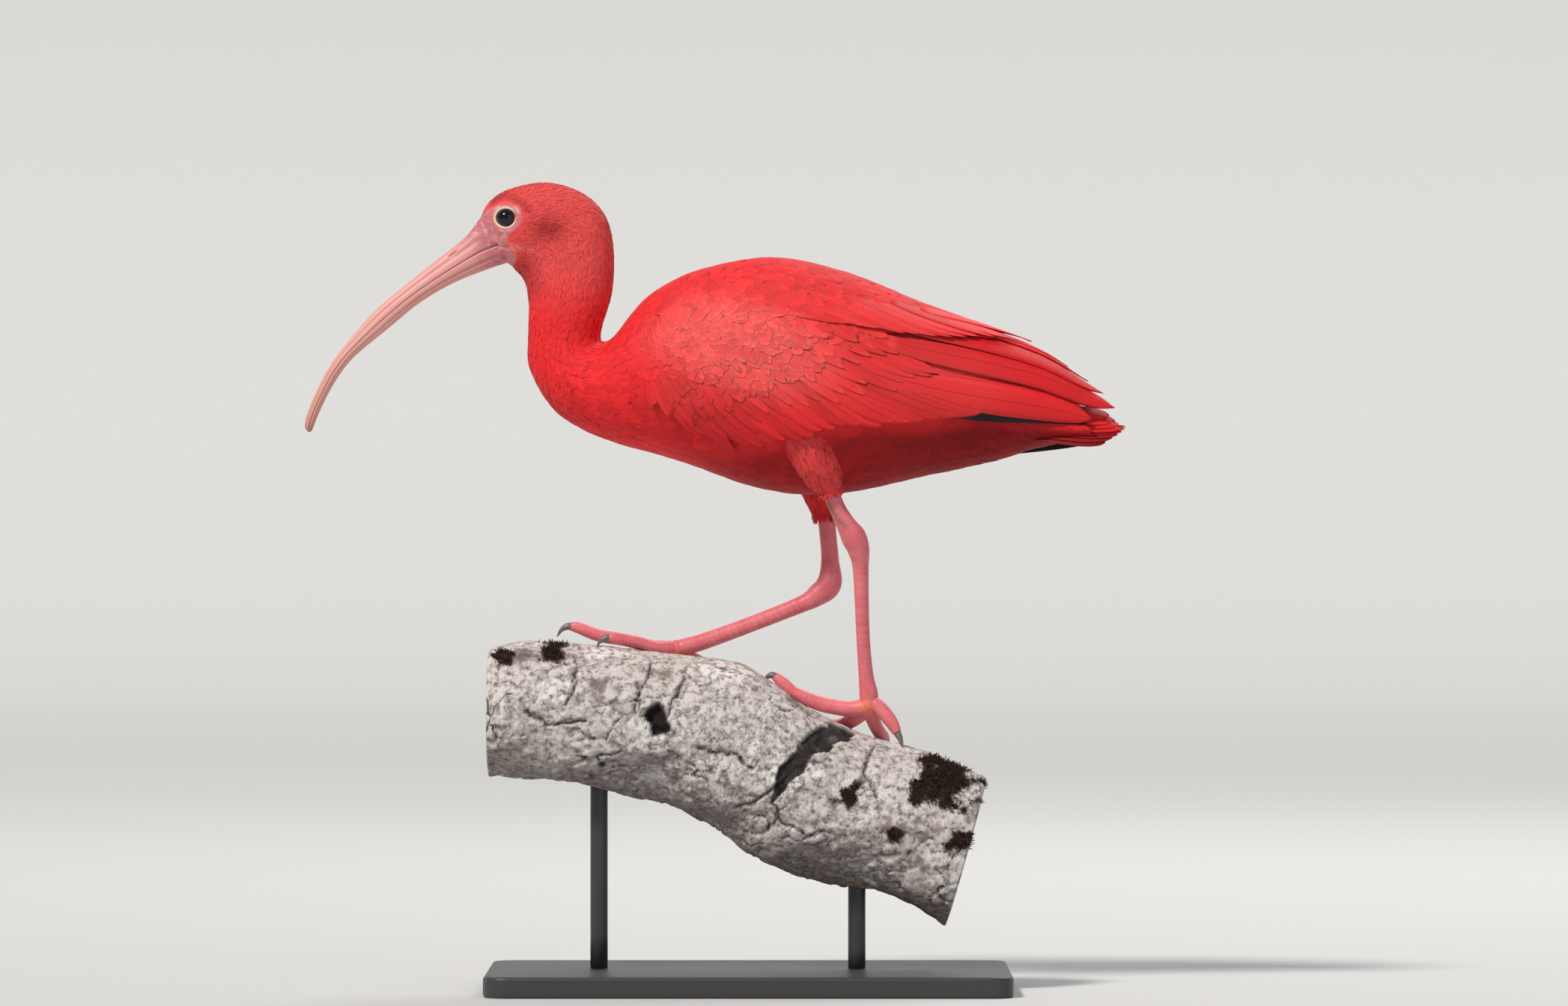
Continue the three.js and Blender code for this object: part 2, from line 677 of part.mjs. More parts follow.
const wingsCut = { left: leftWing, right: rightWing };
for (const [side, leg] of Object.entries(LEGS)) {
  const flankCut = torsoCut;
  const shinCut = part(leg.shin, 0, 2.5, 6, 10, CUT);
  let thigh = part(leg.thigh, 0, 3, 7, 14).subtract(flankCut).subtract(wingsCut[side]);
  thigh = largest(thigh.subtract(shinCut));
  node("thigh_" + side, thigh, SCARLET);
  const tarsus = (grow) => part(leg.tarsus, 0, FOOT_JOINT - SEAT, 8, 9, grow).add(ankle(leg, grow));
  const shin = part(leg.shin, 0.2, 3, 6, 10).subtract(flankCut).subtract(tarsus(CUT));
  node("shin_" + side, largest(shin), LEG_SKIN);
  node("tarsus_" + side, tarsus(0), LEG_SKIN);
  const [x, y, z, radius] = ballOfFoot[side];
  const pieces = [part(leg.tarsus, FOOT_JOINT + SEAT, 6, 1, 10), ball(x, y, z, radius, 9, 6)];
  for (const [path] of Object.values(TOES[side])) pieces.push(limb(path, 2 * (path.length - 1), 6));
  const legCut = part(leg.tarsus, 3, FOOT_JOINT + SEAT, 5, 10, 3);
  node("foot_" + side, largest(joined(pieces).subtract(legCut).subtract(branchCut)), LEG_SKIN);
  for (const [toe, [path, tip]] of Object.entries(TOES[side])) {
    node("claw_" + side + "_" + toe, largest(claw(path, tip).subtract(branchCut)), CLAW);
  }
}

// Stand: a flat base and two rods that stand in sockets in the branch
const half = [BASE_LONG / 2 - BASE_CORNER, BASE_DEEP / 2 - BASE_CORNER];
const plate = new THREE.Shape();
[[1, 1], [-1, 1], [-1, -1], [1, -1]].forEach(([sx, sy], i) => {
  plate.absarc(sx * half[0], sy * half[1], BASE_CORNER, (i * Math.PI) / 2, ((i + 1) * Math.PI) / 2, false);
});
const EDGE = 1.2; // chamfer of the base's upper and lower edges
const plateGeometry = new THREE.ExtrudeGeometry(plate, {
  depth: BASE_THICK - 2 * EDGE,
  bevelSize: EDGE,
  bevelThickness: EDGE,
  bevelOffset: -EDGE,
  bevelSegments: 1,
  curveSegments: 5,
});
node("stand_base", solidOf(plateGeometry.translate(0, 0, EDGE)), STEEL);

let perch = branch(20);
for (const [place, x] of Object.entries(RODS)) {
  const ray = box(x - 0.5, x + 0.5, -0.5, 0.5, 0, 400).intersect(perch);
  const top = ray.boundingBox().min[2] + ROD_SOCKET;
  const rod = (radius, low, high) => {
    const geometry = new THREE.CylinderGeometry(radius, radius, high - low, 20);
    return solidOf(geometry.rotateX(Math.PI / 2).translate(x, 0, (low + high) / 2));
  };
  node("stand_rod_" + place, rod(ROD_RADIUS, BASE_THICK + GAP, top), STEEL);
  perch = perch.subtract(rod(ROD_RADIUS + GAP, 0, top + GAP));
}
node("perch", largest(perch), BARK);

export default ibis;
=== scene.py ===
import math

import bmesh
import bpy
import numpy as np
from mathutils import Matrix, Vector, noise


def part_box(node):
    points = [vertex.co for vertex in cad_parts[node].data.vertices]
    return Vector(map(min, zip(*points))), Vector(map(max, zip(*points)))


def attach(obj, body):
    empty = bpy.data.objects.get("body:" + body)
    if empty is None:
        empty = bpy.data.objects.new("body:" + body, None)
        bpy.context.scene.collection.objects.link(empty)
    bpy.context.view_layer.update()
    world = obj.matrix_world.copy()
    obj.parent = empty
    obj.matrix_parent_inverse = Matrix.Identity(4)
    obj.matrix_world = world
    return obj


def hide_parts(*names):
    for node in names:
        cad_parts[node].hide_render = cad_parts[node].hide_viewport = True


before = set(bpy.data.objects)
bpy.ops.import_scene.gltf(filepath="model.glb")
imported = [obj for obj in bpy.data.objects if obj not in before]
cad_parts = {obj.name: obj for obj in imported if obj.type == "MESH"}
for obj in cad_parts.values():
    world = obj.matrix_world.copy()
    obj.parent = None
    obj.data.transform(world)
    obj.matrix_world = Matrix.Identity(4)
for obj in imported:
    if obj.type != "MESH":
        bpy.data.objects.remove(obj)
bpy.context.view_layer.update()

mm = 0.001
pi = math.pi
scene = bpy.context.scene
print("Frame loaded")

# Camera: level, square on to the bird's left side, far enough back to flatten it as the photo does
cameraSettings = {"place": (0.0202, -5.0, 0.2795), "lens": 199.9, "sensor": 36.0}
cameraData = bpy.data.cameras.new("camera")
cameraData.lens = cameraSettings["lens"]
cameraData.sensor_width = cameraSettings["sensor"]
cameraData.clip_end = 50
camera = bpy.data.objects.new("camera", cameraData)
camera.location = cameraSettings["place"]
camera.rotation_euler = (pi / 2, 0, 0)
scene.collection.objects.link(camera)
scene.camera = camera
scene.view_settings.view_transform = "Standard"


# Numbers and surfaces, in millimetres until a mesh is made

# Smooth value between the rows of a table, where t counts rows
def between(rows, t):
    rows = np.asarray(rows, float)
    last = len(rows) - 1
    t = np.clip(np.asarray(t, float), 0, last)
    i = np.minimum(t.astype(int), last - 1)
    f = (t - i)[..., None]
    a, b, d, e = (rows[np.clip(i + k, 0, last)] for k in (-1, 0, 1, 2))
    f2, f3 = f * f, f * f * f
    return ((2 * f3 - 3 * f2 + 1) * b + (f3 - 2 * f2 + f) * (d - a) / 2
            + (3 * f2 - 2 * f3) * d + (f3 - f2) * (e - b) / 2)


def smoothStep(low, high, value):
    f = np.clip((np.asarray(value, float) - low) / (high - low), 0, 1)
    return f * f * (3 - 2 * f)


# A point on a smooth line through points, at a share of its rows
def along(points, share):
    return between(points, np.asarray(share) * (len(points) - 1))


# Head, neck and torso: underside X and Z, upper side X and Z, half width, egg
bodyRows = np.array([
    (-138.2, 417.2, -154.2, 443.2, 8.8, 0), (-135.6, 414.9, -149.6, 452.2, 12.2, 0.06),
    (-133.7, 412.6, -138.4, 459.8, 15, 0.1), (-131.6, 410.4, -117, 464, 17, 0.12),
    (-129.9, 408, -96.8, 458.8, 17.6, 0.1), (-128.4, 404.5, -83, 446.6, 18, 0.06),
    (-127.6, 400, -77.2, 428, 18, 0), (-127, 391, -77.6, 402, 18.4, 0),
    (-127.4, 375, -83.4, 381, 19.5, 0), (-126.6, 357, -84, 372.8, 21.5, 0),
    (-114, 334.1, -78.8, 374.2, 26, 0), (-96.8, 321.2, -73.6, 380.4, 31, 0),
    (-75.2, 312.4, -67.2, 389.4, 37.5, 0), (-53.8, 306.4, -57.4, 400, 43, 0),
    (-30.1, 299, -40.2, 410.4, 47.5, 0), (-4.3, 289.6, -16.6, 418, 50.5, 0),
    (21.5, 284, 13, 421.4, 51.5, 0), (47.3, 283.4, 42, 416.4, 50, 0),
    (73.1, 287.4, 70, 405.6, 45.5, 0), (98.9, 293.6, 97, 389, 39, 0),
    (122.5, 298.4, 121, 370, 31, 0), (143, 304.6, 143, 351, 23, 0),
    (160, 310.5, 160, 338, 16, 0)])
# Folded wings: X, underside Z, upper side Z, half width
wingRows = np.array([
    (-66.7, 308, 389, 38), (-52, 304, 402.5, 49.5), (-30, 297, 413.8, 55), (13, 283, 421.2, 59),
    (56, 282, 412.4, 57.5), (99, 290, 395, 50), (133, 299, 382.5, 39.5), (168, 308, 368, 27),
    (194, 313, 351, 18), (222, 317, 335, 10)])
# The folded wing's lower edge in the side view, from the wrist to the last feather's tip
wingEdge = np.array([
    (-58.4, 363.8), (-54.2, 347), (-45.8, 332.5), (-37.5, 322), (-28, 313.7), (-18.6, 309.5), (-5, 309.9),
    (6.5, 312.6), (33.6, 316.8), (56.6, 323), (77.5, 324.6), (104.7, 325.2), (119.3, 328.3), (130.8, 330.5),
    (162, 327), (190, 324)])
wingFine = between(wingRows, np.linspace(0, len(wingRows) - 1, 400))


# A point of the body at row t and a turn from its upper side; a turn below 0 is the left side
def onBody(t, turn, lift=0):
    lowX, lowZ, highX, highZ, half, egg = np.moveaxis(between(bodyRows, t), -1, 0)
    upX, upZ = highX - lowX, highZ - lowZ
    tall = np.hypot(upX, upZ)
    up, out = np.cos(turn), np.sin(turn)
    reach = (tall / 2 + lift) * up / tall
    x = (lowX + highX) / 2 + upX * reach
    z = (lowZ + highZ) / 2 + upZ * reach
    return np.stack([x, (half + lift) * out * (1 + egg * up), z], -1)


def wingSection(x):
    return [np.interp(x, wingFine[:, 0], wingFine[:, k]) for k in (1, 2, 3)]


# A point of the folded wings' outer surface at X and a turn from the top
def onWing(x, turn, lift=0):
    low, high, half = wingSection(x)
    z = (low + high) / 2 + ((high - low) / 2 + lift) * np.cos(turn)
    return np.stack([x + 0 * turn, (half + lift) * np.sin(turn), z], -1)


def edgeHeight(x):
    return np.interp(x, wingEdge[:, 0], wingEdge[:, 1])


def wingTurn(x, z):
    low, high, half = wingSection(x)
    return np.arccos(np.clip((z - (low + high) / 2) / ((high - low) / 2), -1, 1))


# Meshes

def makeObject(name, points, faces, material, uvs=None, attributes=None):
    mesh = bpy.data.meshes.new(name)
    points = np.asarray(points, float) * mm
    faces = np.asarray(faces)
    mesh.vertices.add(len(points))
    mesh.vertices.foreach_set("co", points.ravel())
    mesh.loops.add(faces.size)
    mesh.loops.foreach_set("vertex_index", faces.ravel())
    mesh.polygons.add(len(faces))
    mesh.polygons.foreach_set("loop_start", np.arange(len(faces)) * faces.shape[1])
    mesh.polygons.foreach_set("use_smooth", np.ones(len(faces), bool))
    for layerName, values in (uvs or {}).items():
        layer = mesh.uv_layers.new(name=layerName)
        layer.data.foreach_set("uv", np.asarray(values, float)[faces.ravel()].ravel())
    for key, values in (attributes or {}).items():
        item = mesh.attributes.new(key, "FLOAT", "POINT")
        item.data.foreach_set("value", np.asarray(values, float).ravel())
    mesh.update(calc_edges=True)
    mesh.validate()
    mesh.materials.append(material)
    made = bpy.data.objects.new(name, mesh)
    scene.collection.objects.link(made)
    return made


# Quads of a grid of points, with its columns joined round where it is closed
def gridFaces(rows, columns, closed=False):
    r, c = np.meshgrid(np.arange(rows - 1), np.arange(columns if closed else columns - 1), indexing="ij")
    n = (c + 1) % columns
    quads = np.stack([r * columns + c, r * columns + n, (r + 1) * columns + n, (r + 1) * columns + c], -1)
    return quads.reshape(-1, 4)


# Joins (points, faces, {attribute: values}) into one set
def joinParts(parts):
    points, faces, extra = [], [], {}
    start = 0
    for part in parts:
        points.append(part[0])
        faces.append(part[1] + start)
        for key, values in part[2].items():
            extra.setdefault(key, []).append(values)
        start += len(part[0])
    return np.concatenate(points), np.concatenate(faces), {k: np.concatenate(v) for k, v in extra.items()}


# Feathers: every vane of a tract is laid over a surface by its own two coordinates (p, q)

bakePatch = 0.003  # how wide each vane's patch is in the bake map
vaneRise = np.array([0, 0.16, 0.36, 0.56, 0.74, 0.88, 0.96, 1.0])
vaneForms = {
    "round": np.array([0.42, 0.74, 0.95, 1.0, 0.94, 0.72, 0.46, 0.1]),
    "long": np.array([0.6, 0.84, 0.97, 1.0, 0.95, 0.74, 0.46, 0.08]),
    "pointed": np.array([0.6, 0.9, 1.0, 0.93, 0.74, 0.44, 0.22, 0.03]),
    "strand": np.array([0.7, 1.0, 0.95, 0.82, 0.62, 0.38, 0.2, 0.03]),
}


# Root and tip: arrays (n, 2) of p and q. width and lift (root, tip): millimetres, numbers or arrays
def layVanes(surface, root, tip, width, lift, form, rng, unwrap, rows, across=4, thick=0.0, crown=0.12,
             tilt=0.0, rag=0.05, side=1):
    n = len(root)
    rise = np.interp(np.linspace(0, 1, rows), np.linspace(0, 1, len(vaneRise)), vaneRise)
    breadth = np.interp(rise, vaneRise, vaneForms[form])
    width = np.broadcast_to(width, n).astype(float)
    lift0, lift1 = (np.broadcast_to(v, n).astype(float) for v in lift)
    u = rise[None, :, None]
    v = np.linspace(-1, 1, across + 1)[None, None, :]
    p0, q0 = root[:, 0, None, None], root[:, 1, None, None]
    dp, dq = (tip - root)[:, 0, None, None], (tip - root)[:, 1, None, None]
    ragged = rng.normal(0, rag, (n, 1, across + 1)) * u ** 5
    reach = u - ragged
    p, q = p0 + dp * reach, q0 + dq * reach
    pc, qc = p0 + dp * u, q0 + dq * u
    # the surface's own directions, and the sideways step that is square to the vane
    e = 1e-3
    sp = (surface(pc + e, qc) - surface(pc - e, qc)) / (2 * e)
    sq = (surface(pc, qc + e) - surface(pc, qc - e)) / (2 * e)
    ahead = sp * dp[..., None] + sq * dq[..., None]
    out = np.cross(sp, sq)
    out /= np.linalg.norm(out, axis=-1, keepdims=True) + 1e-9
    sideways = np.cross(out, ahead)
    sideways /= np.linalg.norm(sideways, axis=-1, keepdims=True) + 1e-9
    g11, g12, g22 = (sp * sp).sum(-1), (sp * sq).sum(-1), (sq * sq).sum(-1)
    b1, b2 = (sp * sideways).sum(-1), (sq * sideways).sum(-1)
    det = g11 * g22 - g12 ** 2 + 1e-9
    stepP, stepQ = (g22 * b1 - g12 * b2) / det, (g11 * b2 - g12 * b1) / det
    half = width[:, None, None] / 2 * breadth[None, :, None] * v
    p, q = p + stepP * half, q + stepQ * half
    level = lift0[:, None, None] + (lift1 - lift0)[:, None, None] * u ** 0.85
    level = level + crown * width[:, None, None] * (1 - v * v) * breadth[None, :, None] - tilt * v
    level = level + rng.normal(0, 0.05, (n, 1, 1))
    points = surface(p, q, level)
    points[..., 1] *= side
    shape = (n, len(rise), across + 1)
    extras = {
        "vaneU": np.broadcast_to(v * 0.5 + 0.5, shape),
        "vaneV": np.broadcast_to(u, shape),
        "chance": np.broadcast_to(rng.random((n, 1, 1)), shape),
    }
    base = unwrap(root[:, 0], root[:, 1])
    for key, where, local in (("bakeU", base[0], v * 0.5), ("bakeV", base[1], u - 0.5)):
        extras[key] = np.broadcast_to(np.asarray(where)[:, None, None] + bakePatch * local, shape)
    count = len(rise) * (across + 1)
    faces = gridFaces(len(rise), across + 1)
    if side > 0:
        faces = faces[:, ::-1]
    if thick:
        under = surface(p, q, level - thick * (1 - 0.6 * u))
        under[..., 1] *= side
        points = np.concatenate([points, under], 1)
        extras = {k: np.concatenate([w, w], 1) for k, w in extras.items()}
        ring = rimOf(len(rise), across + 1)
        walls = np.stack([ring, np.roll(ring, -1), np.roll(ring, -1) + count, ring + count], -1)
        if side < 0:
            walls = walls[:, ::-1]
        faces = np.concatenate([faces, faces[:, ::-1] + count, walls])
        count *= 2
    every = (faces[None] + (np.arange(n) * count)[:, None, None]).reshape(-1, 4)
    return points.reshape(-1, 3), every, {k: np.asarray(w).reshape(-1) for k, w in extras.items()}


# The points round a grid's edge, in order
def rimOf(rows, columns):
    first = list(range(columns))
    right = [r * columns + columns - 1 for r in range(1, rows)]
    last = [(rows - 1) * columns + c for c in range(columns - 2, -1, -1)]
    left = [r * columns for r in range(rows - 2, 0, -1)]
    return np.array(first + right + last + left)


print("Helpers ready")


# Materials

def newMaterial(name, roughness=0.5, sheen=0.0, specular=0.5):
    material = bpy.data.materials.new(name)
    material.use_nodes = True
    shader = material.node_tree.nodes["Principled BSDF"]
    shader.inputs["Roughness"].default_value = roughness
    shader.inputs["Sheen Weight"].default_value = sheen
    shader.inputs["Specular IOR Level"].default_value = specular
    return material, material.node_tree, shader


def addNode(tree, kind, values=None, **settings):
    made = tree.nodes.new(kind)
    for key, value in settings.items():
        setattr(made, key, value)
    for key, value in (values or {}).items():
        if isinstance(value, bpy.types.NodeSocket):
            tree.links.new(value, made.inputs[key])
        else:
            made.inputs[key].default_value = value
    return made


# A colour mix; each of the three may be a socket or a plain value
def mixColour(tree, share, first, second, blend="MIX"):
    made = tree.nodes.new("ShaderNodeMix")
    made.data_type = "RGBA"
    made.blend_type = blend
    for socket, value in ((made.inputs[0], share), (made.inputs[6], first), (made.inputs[7], second)):
        if isinstance(value, bpy.types.NodeSocket):
            tree.links.new(value, socket)
        else:
            socket.default_value = value if isinstance(value, (int, float)) else (*value, 1)[:4]
    return made.outputs[2]


def calc(tree, operation, *values, clamp=False):
    made = tree.nodes.new("ShaderNodeMath")
    made.operation = operation
    made.use_clamp = clamp
    for socket, value in zip(made.inputs, values):
        if isinstance(value, bpy.types.NodeSocket):
            tree.links.new(value, socket)
        else:
            socket.default_value = value
    return made.outputs[0]


def attribute(tree, name):
    return addNode(tree, "ShaderNodeAttribute", attribute_name=name).outputs["Fac"]


def objectPlace(tree, scale=(1, 1, 1)):
    place = addNode(tree, "ShaderNodeTexCoord").outputs["Object"]
    return addNode(tree, "ShaderNodeMapping", {"Vector": place, "Scale": scale}).outputs[0]


# Soft noise through the piece's own space
def cloudNoise(tree, scale, detail=2.0, roughness=0.5, stretch=(1, 1, 1)):
    values = {"Vector": objectPlace(tree, stretch), "Scale": scale, "Detail": detail, "Roughness": roughness}
    return addNode(tree, "ShaderNodeTexNoise", values).outputs[0]


# 0 up to a start, then rising to 1; a gain below 0 rises downwards
def rising(tree, value, start, gain):
    return calc(tree, "MULTIPLY", calc(tree, "SUBTRACT", value, start), gain, clamp=True)


# A colour made lighter or darker by one value
def toned(tree, colour, tone):
    grey = addNode(tree, "ShaderNodeCombineColor", {0: tone, 1: tone, 2: tone})
    return mixColour(tree, 1.0, colour, grey.outputs[0], "MULTIPLY")


# A shader node group. inputs and outputs: {name: default value or None}
def newGroup(name, inputs, outputs):
    tree = bpy.data.node_groups.new(name, "ShaderNodeTree")
    for direction, sockets in (("INPUT", inputs), ("OUTPUT", outputs)):
        for key, value in sockets.items():
            isColour = isinstance(value, tuple)
            kind = "NodeSocketColor" if isColour else "NodeSocketFloat"
            socket = tree.interface.new_socket(key, in_out=direction, socket_type=kind)
            if value is not None:
                socket.default_value = (*value, 1) if isColour else value
    return tree, tree.nodes.new("NodeGroupInput"), tree.nodes.new("NodeGroupOutput")


def useGroup(tree, group, values):
    made = tree.nodes.new("ShaderNodeGroup")
    made.node_tree = group
    for key, value in values.items():
        if isinstance(value, bpy.types.NodeSocket):
            tree.links.new(value, made.inputs[key])
        else:
            made.inputs[key].default_value = (*value, 1) if isinstance(value, tuple) else value
    return made


def connect(tree, source, shader, name):
    tree.links.new(source, shader.inputs[name])


def addBump(tree, shader, height, strength, distance):
    bump = addNode(tree, "ShaderNodeBump", {"Height": height, "Strength": strength, "Distance": distance})
    connect(tree, bump.outputs[0], shader, "Normal")


# Scarlet plumage: one group of colours for the skin under it and every feather
plumage = {
    "scarlet": (0.80, 0.020, 0.024),
    "deep": (0.20, 0.0008, 0.002),
    "pale": (0.86, 0.115, 0.105),
    "blush": (0.90, 0.30, 0.26),
    "black": (0.012, 0.010, 0.014),
}


def plumageGroup():
    inputs = {"Pale": 0.0, "Deep": 0.0, "Black": 0.0, "Chance": 0.5, "Along": 0.5, "Edge": 0.0}
    tree, given, result = newGroup("scarlet plumage", inputs, {"Colour": (1.0, 1.0, 1.0)})
    cloud = cloudNoise(tree, 38.0, 4.0)
    colour = mixColour(tree, given.outputs["Pale"], plumage["scarlet"], plumage["pale"])
    palest = rising(tree, given.outputs["Pale"], 0.66, 2.0)
    palest = calc(tree, "MULTIPLY", palest, calc(tree, "ADD", given.outputs["Chance"], 0.3), clamp=True)
    colour = mixColour(tree, palest, colour, plumage["blush"])
    # Painted highlight: the edges and tips of feathers on the pale tracts are painted pinker, mottled by the
    # cloud noise
    edgeHighlight = calc(tree, "MULTIPLY", given.outputs["Edge"], given.outputs["Pale"])
    edgeHighlight = calc(tree, "MULTIPLY", edgeHighlight, calc(tree, "MULTIPLY_ADD", cloud, 1.6, 0.5), clamp=True)
    colour = mixColour(tree, calc(tree, "MULTIPLY", edgeHighlight, 0.55), colour, plumage["blush"])
    # Painted shade: each feather is painted deeper red near its root, where the feathers over it shade it
    base = calc(tree, "SUBTRACT", 1.0, calc(tree, "MULTIPLY", given.outputs["Along"], 2.4), clamp=True)
    dark = calc(tree, "MAXIMUM", given.outputs["Deep"], calc(tree, "MULTIPLY", base, 0.12))
    colour = mixColour(tree, dark, colour, plumage["deep"])
    vary = calc(tree, "ADD", calc(tree, "MULTIPLY", given.outputs["Chance"], 0.30),
                calc(tree, "MULTIPLY", cloud, 0.2))
    colour = toned(tree, colour, calc(tree, "ADD", vary, 0.75))
    colour = mixColour(tree, given.outputs["Black"], colour, plumage["black"])
    tree.links.new(colour, result.inputs[0])
    return tree


plumageColours = plumageGroup()


def featherMaterial(name, barbs=90.0, shaft=0.0, roughness=0.65, sheen=0.05):
    material, tree, shader = newMaterial(name, roughness, sheen=sheen, specular=0.2)
    shader.inputs["Sheen Tint"].default_value = (1, 0.55, 0.5, 1)
    shader.inputs["Sheen Roughness"].default_value = 0.45
    u, v = attribute(tree, "vaneU"), attribute(tree, "vaneV")
    off = calc(tree, "ABSOLUTE", calc(tree, "SUBTRACT", u, 0.5))
    edge = calc(tree, "MAXIMUM", rising(tree, off, 0.34, 6.0), rising(tree, v, 0.86, 6.0))
    colours = useGroup(tree, plumageColours, {
        "Pale": attribute(tree, "pale"), "Deep": attribute(tree, "deep"), "Black": attribute(tree, "black"),
        "Chance": attribute(tree, "chance"), "Along": v, "Edge": edge})
    # barbs run out from the shaft towards the tip
    run = calc(tree, "SUBTRACT", v, calc(tree, "MULTIPLY", off, 0.55))
    barb = calc(tree, "SINE", calc(tree, "MULTIPLY", run, barbs))
    colour = colours.outputs[0]
    colour = toned(tree, colour, calc(tree, "MULTIPLY_ADD", barb, 0.05, 0.95))
    if shaft:
        line = calc(tree, "SUBTRACT", 1.0, calc(tree, "MULTIPLY", off, shaft), clamp=True)
        colour = mixColour(tree, calc(tree, "MULTIPLY", line, 0.55), colour, plumage["deep"])
    connect(tree, colour, shader, "Base Color")
    addBump(tree, shader, barb, 0.25, 0.0002)
    return material


bodyFeather = featherMaterial("body feather", barbs=60.0)
flightFeather = featherMaterial("flight feather", barbs=260.0, shaft=34.0, roughness=0.5)
print("Plumage materials ready")


# Markings and painted shade, the same on skin and coat

# Distance in the side view from a line through points, and how far along it
def sideDistance(x, z, points):
    best = np.full(np.shape(x), 1e9)
    where = np.zeros(np.shape(x))
    for i in range(len(points) - 1):
        (ax, az), (bx, bz) = points[i], points[i + 1]
        f = np.clip(((x - ax) * (bx - ax) + (z - az) * (bz - az)) / ((bx - ax) ** 2 + (bz - az) ** 2), 0, 1)
        d = np.hypot(x - ax - f * (bx - ax), z - az - f * (bz - az))
        closer = d < best
        best = np.where(closer, d, best)
        where = np.where(closer, (i + f) / (len(points) - 1), where)
    return best, where


# The edge of the face's bare skin in the side view, from the forehead behind the eye to the throat
bareEdge = [
    (-170, 442), (-156, 446.4), (-152.3, 446.2), (-147.4, 448.6), (-142.4, 450.6), (-136.6, 450.9),
    (-131.6, 448.4), (-129.6, 443.6), (-131, 438.6), (-135.4, 434.8), (-138.2, 431.4), (-138, 427.6),
    (-136, 424.4), (-133.8, 421.4), (-133.4, 418.4), (-136, 415.6), (-141, 411), (-170, 408)]


# True where the side view's x and z lie inside a closed outline
def insideOutline(x, z, outline):
    inside = np.zeros(np.shape(x), bool)
    for (xi, zi), (xj, zj) in zip(outline, outline[-1:] + outline[:-1]):
        if zi != zj:
            crossing = (zi > z) != (zj > z)
            inside ^= crossing & (x < (xj - xi) * (z - zi) / (zj - zi) + xi)
    return inside


# 1 on the bare skin of the face, 0 where feathers grow
def bareAmount(points):
    x, z = points[..., 0], points[..., 2]
    inside = insideOutline(x, z, bareEdge)
    distance, _ = sideDistance(x, z, bareEdge)
    return np.clip(0.5 + np.where(inside, distance, -distance) / 1.6, 0, 1)


# Pale, deep and black for points of the plumage; the deep red under the wing and on the chin is painted shade
def markingsAndShade(points):
    x, y, z = points[..., 0], points[..., 1], points[..., 2]
    off = np.abs(y)
    shoulder = np.exp(-(((x + 2) / 58) ** 2 + ((z - 368 + 0.2 * x) / 29) ** 2) ** 2) * smoothStep(20, 40, off)
    wing = smoothStep(318, 345, z) * smoothStep(-62, -40, x) * smoothStep(24, 40, off) * 0.16
    head = smoothStep(380, 420, z) * smoothStep(-60, -90, x) * 0.5
    pale = np.clip(np.maximum(shoulder * 0.62, np.maximum(wing, head)), 0, 1)
    ear, _ = sideDistance(x, z, [(-117, 437), (-112, 436)])
    brow, _ = sideDistance(x, z, [(-146, 453.5), (-139, 456), (-131, 452), (-126, 447)])
    # Painted shade: the chin and throat under the bill are painted deep red
    chinShade, _ = sideDistance(x, z, [(-131, 418.4), (-126, 412), (-125, 404)])
    deep = 0.62 * np.exp(-(ear / 7.5) ** 2) + 0.38 * np.exp(-(brow / 2.6) ** 2)
    deep = deep + 0.34 * np.exp(-(chinShade / 7.5) ** 2)
    # Painted shade: the belly under the folded wing's lower edge is painted deep red, more so towards the
    # tail
    under = smoothStep(edgeHeight(x) + 2, edgeHeight(x) - 10, z) * smoothStep(-60, 0, x)
    deep = np.maximum(deep, 0.68 * under + 0.24 * smoothStep(20, 120, x) * under)
    gape, back = sideDistance(x, z, [(-136, 425.8), (-128, 425.2), (-119, 422)])
    tuft = np.exp(-(gape / (4.6 - 1.2 * back)) ** 2) * (0.95 - 0.3 * back)
    pale = np.maximum(pale, tuft)
    deep = deep * (1 - 0.8 * tuft)
    return {"pale": np.clip(pale, 0, 1), "deep": np.clip(deep, 0, 1), "black": 0 * x}


def makeCoat(name, parts, material, deepShare=1.0, palest=0.0):
    points, faces, extras = joinParts(parts)
    marksAndPaintedLight = markingsAndShade(points)
    marksAndPaintedLight["deep"] = marksAndPaintedLight["deep"] * deepShare
    marksAndPaintedLight["pale"] = np.maximum(marksAndPaintedLight["pale"], palest)
    if "black" in extras:
        marksAndPaintedLight["black"] = extras.pop("black")
    bake = np.stack([extras.pop("bakeU"), extras.pop("bakeV")], -1)
    made = makeObject(name, points, faces, material, {"OFBake": bake}, {**extras, **marksAndPaintedLight})
    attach(made, "root")
    print(name, len(faces) * 2, "triangles")


# Places (p, q) in staggered rows with a little jitter. stepP and stepQ may be functions of p
def staggered(p0, p1, q0, q1, stepP, stepQ, rng, jitter=0.28):
    places = []
    p, odd = p0, 0
    while p < p1:
        stepAcross = stepQ(p)
        count = max(int(round((q1 - q0) / stepAcross)), 1)
        q = q0 + (np.arange(count) + 0.5 * odd + 0.25) * (q1 - q0) / count
        row = np.stack([np.full(count, p), q], -1)
        row[:, 0] += rng.normal(0, jitter, count) * stepP(p)
        row[:, 1] += rng.normal(0, jitter, count) * stepAcross
        places.append(row)
        p += stepP(p)
        odd = 1 - odd
    return np.concatenate(places)


